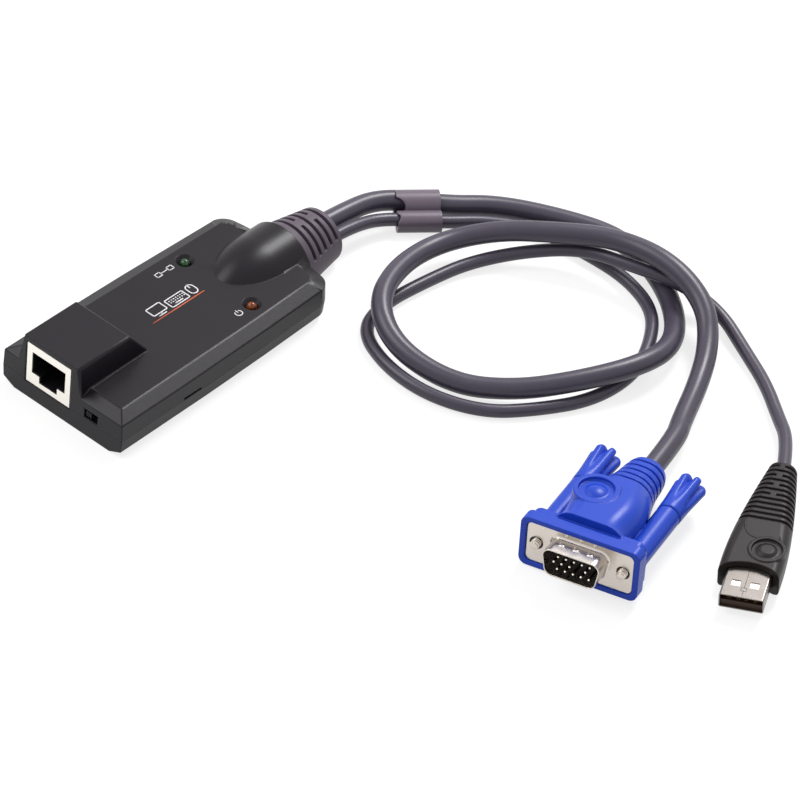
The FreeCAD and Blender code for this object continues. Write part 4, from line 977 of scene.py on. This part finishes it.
SEAM_LINE = 0.13 * MM
WINDOW_PITCH = 5.0 * MM
# Places in the USB plug's own frame, in millimetres.
USB_OUT = 11.8
USB_TOP = 2.25
TAB_BACK, TAB_FRONT, TAB_HALF = -3.6, -2.4, 0.75
CREASE = ((-28.6, -4.9), (-26.0, -4.6), (-23.8, -3.7), (-22.4, -2.4), (-21.9, -1.0), (-21.6, -0.3))


def usb_seam():
    """The folded shell's joint along its upper wall, with its locking tab."""
    pen = Pen(SEAM_LINE)
    pen.bar(mm(-USB_OUT, 0), mm(TAB_BACK, 0))
    pen.frame(mm(TAB_BACK, -TAB_HALF), mm(TAB_FRONT, TAB_HALF))
    pen.bar(mm(TAB_FRONT, 0), mm(-0.2, 0))
    return pen.finish("usb_shell_seam", USB_PLUG @ Matrix.Translation((0, 0, USB_TOP * MM)))


def usb_springs():
    """The bright springs that show in the shell's windows."""
    bm = bmesh.new()
    block(bm, mm(-6.7, -3.85, 1.82), mm(-3.7, -1.15, 1.93))
    return row("usb_window_springs", bm, 2, (0, WINDOW_PITCH, 0), bright_tin(), USB_PLUG)


def knob_ridges():
    """The three ridges across the slide switch's knob."""
    low, high = corners("switch_knob")
    middle = (low.x + high.x) / 2
    bm = bmesh.new()
    block(bm, (middle - 0.85 * MM, low.y - 0.3 * MM, low.z + 0.25 * MM),
          (middle - 0.5 * MM, low.y + 0.2 * MM, high.z - 0.05 * MM))
    return row("knob_ridges", bm, 3, (0.675 * MM, 0, 0), dark_insulator())


# ---------- operators


class DONGLE_OT_housing(bpy.types.Operator):
    """Makes the two moulded shells with rounded edges and fillets"""

    bl_idname = "dongle.housing"
    bl_label = "Housing"

    def execute(self, context):
        edge = sizes().edge
        soft_piece("upper_shell", "top_cover", "housing_plastic", housing_plastic(), edge, 1.6 * edge,
                   shortest=mm(2.0, 2.5), limit=20, segments=4, above=SEAM + 0.4 * MM)
        soft_piece("lower_shell", "bottom_case", "housing_plastic", housing_plastic(), 0.7 * edge)
        return {"FINISHED"}


class DONGLE_OT_marks(bpy.types.Operator):
    """Prints the rule, the icons and the lamps' marks on the housing"""

    bl_idname = "dongle.marks"
    bl_label = "Printed Marks"

    def execute(self, context):
        pale = ink("Pale Ink", tuple(colours().print_marks))
        for mark in (printed_icons(), link_mark(), on_mark()):
            finish_piece(mark, HOUSING, "header_white", pale)
        orange = ink("Orange Ink", tuple(colours().print_rule))
        finish_piece(printed_rule(), HOUSING, "lamp_amber", orange)
        return {"FINISHED"}


class DONGLE_OT_board(bpy.types.Operator):
    """Finishes the circuit board and what stands on it"""

    bl_idname = "dongle.board"
    bl_label = "Circuit Board"

    def execute(self, context):
        dress_nodes(circuit_board=board_material(), video_chip=dark_insulator(), processor_chip=dark_insulator(),
                    memory_chip=dark_insulator(), clock_crystal=jack_steel(), board_capacitors=jack_steel(),
                    video_header=header_plastic(), usb_header=header_plastic(), lamp_spacers=header_plastic(),
                    video_lead=cable_jacket(), usb_lead=cable_jacket())
        return {"FINISHED"}


class DONGLE_OT_jack(bpy.types.Operator):
    """Finishes the network jack: its metal can, insert and contacts"""

    bl_idname = "dongle.jack"
    bl_label = "Network Jack"

    def execute(self, context):
        soft_piece("jack_can", "jack_shield", "jack_steel", jack_steel(), 0.08 * MM, segments=2)
        dress_nodes(jack_insert=dark_insulator(), jack_contacts=contact_gold())
        return {"FINISHED"}


class DONGLE_OT_lamps(bpy.types.Operator):
    """Finishes the two signal lamps"""

    bl_idname = "dongle.lamps"
    bl_label = "Lamps"

    def execute(self, context):
        dress_nodes(lamp_left=lens("Green Lens", (0.020, 0.085, 0.028)),
                    lamp_right=lens("Amber Lens", (0.26, 0.055, 0.006)))
        return {"FINISHED"}


class DONGLE_OT_switch(bpy.types.Operator):
    """Finishes the slide switch beside the jack, and makes the ridges on its knob"""

    bl_idname = "dongle.switch"
    bl_label = "Slide Switch"

    def execute(self, context):
        dress_nodes(switch_frame=dark_steel(), switch_base=dark_insulator(), switch_knob=dark_insulator())
        finish_piece(knob_ridges(), "recovery_knob", "knob_white", dark_insulator())
        return {"FINISHED"}


class DONGLE_OT_relief(bpy.types.Operator):
    """Makes the ribbed strain relief with soft edges"""

    bl_idname = "dongle.relief"
    bl_label = "Strain Relief"

    def execute(self, context):
        soft_piece("ribbed_relief", "strain_relief", "relief_plastic", relief_plastic(), 0.2 * MM)
        return {"FINISHED"}


class DONGLE_OT_video_plug(bpy.types.Operator):
    """Makes the video plug: moulded hood, plated shell, pins and insulator"""

    bl_idname = "dongle.video_plug"
    bl_label = "Video Plug"

    def execute(self, context):
        soft_piece("video_hood", "vga_hood", "video_plug_plastic", video_plug_plastic(), 0.25 * MM, 0.35 * MM)
        soft_piece("video_shell", "vga_shell", "plated_steel", plated_steel(), 0.2 * MM, 0.6 * MM,
                   reshape=wider_holes)
        finish_piece(shroud_bumps(), HOUSING, "plated_steel", plated_steel())
        # Dark rings behind the plate's screw holes: painted shade in the gaps round the screws.
        finish_piece(screw_wells(), HOUSING, "dark_insulator", dark_insulator())
        finish_piece(contact_pins(), HOUSING, "contact_gold", pale_gold(), "vga_pins")
        dress_nodes(vga_insulator=dark_insulator())
        return {"FINISHED"}


class DONGLE_OT_thumbscrews(bpy.types.Operator):
    """Makes the two thumbscrews, each a fluted grip on a threaded screw"""

    bl_idname = "dongle.thumbscrews"
    bl_label = "Thumbscrews"

    def execute(self, context):
        for side, name in ((-1, "left"), (1, "right")):
            body = f"thumbscrew_{name}"
            grip, screw = fluted_grip(side), threaded_screw(side)
            grip.name, screw.name = f"fluted_grip_{name}", f"threaded_screw_{name}"
            finish_piece(grip, body, "video_plug_plastic", video_plug_plastic(), f"thumb_grip_{name}")
            finish_piece(screw, body, "plated_steel", screw_steel(), f"thumb_screw_{name}")
        return {"FINISHED"}


class DONGLE_OT_usb_plug(bpy.types.Operator):
    """Makes the USB plug: moulded grip, shell, contact carrier and contacts"""

    bl_idname = "dongle.usb_plug"
    bl_label = "USB Plug"

    def execute(self, context):
        soft_piece("usb_plug_grip", "usb_grip", "usb_plug_plastic", usb_plug_plastic(), 0.22 * MM, 0.3 * MM)
        crease = bead_on("usb_grip_crease", "usb_grip", USB_PLUG, bent_line(CREASE), 0.28 * MM)
        finish_piece(crease, HOUSING, "usb_plug_plastic", usb_plug_plastic())
        finish_piece(usb_seam(), HOUSING, "plated_steel", dark_steel())
        finish_piece(usb_springs(), HOUSING, "jack_steel", bright_tin())
        dress_nodes(usb_shell=usb_steel(), usb_tongue=brown_insulator(), usb_contacts=contact_gold())
        return {"FINISHED"}


USB_PIECES = ("usb_plug_grip", "usb_grip_crease", "usb_shell_seam", "usb_window_springs")


class DONGLE_OT_cables(bpy.types.Operator):
    """Makes the two cables and the clip that holds them together"""

    bl_idname = "dongle.cables"
    bl_label = "Cables"

    def execute(self, context):
        dress_nodes(cable_clip=clip_plastic())
        on_usb = [bpy.data.objects[name] for name in USB_PIECES]
        on_usb += [NODES["usb_shell"], NODES["usb_tongue"], NODES["usb_contacts"]]
        cable("video_jacket", VIDEO_ROUTE, sizes().video_diameter, "video_cable")
        cable("usb_jacket", USB_ROUTE, sizes().usb_diameter, "usb_cable")
        return {"FINISHED"}


# ---------- stage

VIEW_AZIMUTH = math.radians(36.91)
VIEW_ELEVATION = math.radians(40.98)
VIEW_ROLL = math.radians(6.49)
VIEW_DISTANCE = 1.36527
LENS = 225.0
SENSOR = 36.0
AIM_RIGHT = 0.28546
AIM_UP = 0.066475
LIGHT_TARGET = Vector((0.06, 0.03, 0))
TABLE_HALF = 4.0
TABLE_SUNK = 0.02 * MM
TABLE_PAINT = 0.3
TABLE_GLOW = 0.76
SKY_ON_OBJECT = 0.62
SKY_SEEN = 1.0


def camera_place():
    """The camera's place: it looks at a point beside the housing, rolled slightly."""
    level = math.cos(VIEW_ELEVATION)
    back = Vector((math.sin(VIEW_AZIMUTH) * level, -math.cos(VIEW_AZIMUTH) * level, math.sin(VIEW_ELEVATION)))
    right = Vector((math.cos(VIEW_AZIMUTH), math.sin(VIEW_AZIMUTH), 0))
    up = back.cross(right)
    rolled_right = right * math.cos(VIEW_ROLL) + up * math.sin(VIEW_ROLL)
    rolled_up = up * math.cos(VIEW_ROLL) - right * math.sin(VIEW_ROLL)
    middle = Vector((0, (HOUSING_LOW.y + HOUSING_HIGH.y) / 2, 0))
    spread = VIEW_DISTANCE * SENSOR / LENS
    place = middle + back * VIEW_DISTANCE + (rolled_right * AIM_RIGHT - rolled_up * AIM_UP) * spread
    turn = Matrix((rolled_right, rolled_up, back)).transposed()
    return Matrix.Translation(place) @ turn.to_4x4()


def soft_light(name, place, size, energy):
    """A round area light that shines on the object's middle."""
    lamp = bpy.data.lights.new(name, "AREA")
    lamp.shape = "DISK"
    lamp.size = size
    lamp.energy = energy
    item = new_object(name, lamp)
    away = Vector(place) - LIGHT_TARGET
    item.matrix_world = Matrix.Translation(place) @ away.to_track_quat("Z", "Y").to_matrix().to_4x4()


def emptied(owner):
    """The emptied node tree of a material or world, and whether a ray sees it straight, mirrored or through glass."""
    owner.use_nodes = True
    owner.node_tree.nodes.clear()
    make = Nodes(owner.node_tree)
    path = make.add("ShaderNodeLightPath").outputs
    mirrored = make.math("MAXIMUM", path["Is Glossy Ray"], path["Is Transmission Ray"])
    return make, make.math("MAXIMUM", path["Is Camera Ray"], mirrored)


class DONGLE_OT_stage(bpy.types.Operator):
    """Makes the pale table, the studio light and the camera"""

    bl_idname = "dongle.stage"
    bl_label = "Stage"

    def execute(self, context):
        scene = context.scene
        scene.view_settings.view_transform = "Standard"
        self.table()
        self.world(scene)
        soft_light("back_light", (-0.08, 0.74, 0.9), 0.4, 10.0)
        soft_light("key_light", (-0.55, -0.35, 0.8), 0.6, 4.0)
        camera = bpy.data.cameras.new("camera")
        camera.lens = LENS
        camera.sensor_width = SENSOR
        camera.clip_start = 0.05
        scene.camera = new_object("camera", camera)
        scene.camera.matrix_world = camera_place()
        return {"FINISHED"}

    def table(self):
        bm = bmesh.new()
        bmesh.ops.create_grid(bm, x_segments=1, y_segments=1, size=TABLE_HALF)
        item = mesh_object("table", bm, Matrix.Translation((0, 0, -TABLE_SUNK)))
        material = bpy.data.materials.new("Table White")
        make, seen = emptied(material)
        paint = make.add("ShaderNodeBsdfDiffuse", Color=(TABLE_PAINT, TABLE_PAINT, TABLE_PAINT, 1))
        glow = make.math("MULTIPLY", seen, TABLE_GLOW)
        both = make.add("ShaderNodeAddShader")
        make.put(both.inputs[0], paint.outputs[0])
        make.put(both.inputs[1], make.add("ShaderNodeEmission", Color=(1, 1, 1, 1), Strength=glow).outputs[0])
        make.put(make.add("ShaderNodeOutputMaterial").inputs["Surface"], both.outputs[0])
        dress(item, material)

    def world(self, scene):
        scene.world = bpy.data.worlds.new("Studio")
        make, seen = emptied(scene.world)
        strength = make.ramp(seen, 0.0, 1.0, SKY_ON_OBJECT, SKY_SEEN)
        sky = make.add("ShaderNodeBackground", Color=(1, 1, 1, 1), Strength=strength)
        make.put(make.add("ShaderNodeOutputWorld").inputs["Surface"], sky.outputs[0])


# ---------- add-on

STEPS = (
    DONGLE_OT_housing,
    DONGLE_OT_marks,
    DONGLE_OT_board,
    DONGLE_OT_jack,
    DONGLE_OT_lamps,
    DONGLE_OT_switch,
    DONGLE_OT_relief,
    DONGLE_OT_video_plug,
    DONGLE_OT_thumbscrews,
    DONGLE_OT_usb_plug,
    DONGLE_OT_cables,
    DONGLE_OT_stage,
)


class DONGLE_PT_panel(bpy.types.Panel):
    """Lists the dongle's sizes, colours and steps"""

    bl_idname = "DONGLE_PT_panel"
    bl_label = "Console Adapter Dongle"
    bl_space_type = "VIEW_3D"
    bl_region_type = "UI"
    bl_category = "Dongle"

    def draw(self, context):
        for settings in (context.scene.dongle_sizes, context.scene.dongle_colours):
            for key in settings.__annotations__:
                self.layout.prop(settings, key)
        for step in STEPS:
            self.layout.operator(step.bl_idname)


CLASSES = (DongleSizes, DongleColours, *STEPS, DONGLE_PT_panel)


def register():
    for item in CLASSES:
        bpy.utils.register_class(item)
    bpy.types.Scene.dongle_sizes = PointerProperty(type=DongleSizes)
    bpy.types.Scene.dongle_colours = PointerProperty(type=DongleColours)


def unregister():
    del bpy.types.Scene.dongle_colours
    del bpy.types.Scene.dongle_sizes
    for item in reversed(CLASSES):
        bpy.utils.unregister_class(item)


def main():
    register()
    for step in STEPS:
        group, name = step.bl_idname.split(".")
        getattr(getattr(bpy.ops, group), name)()


if __name__ == "__main__":
    main()
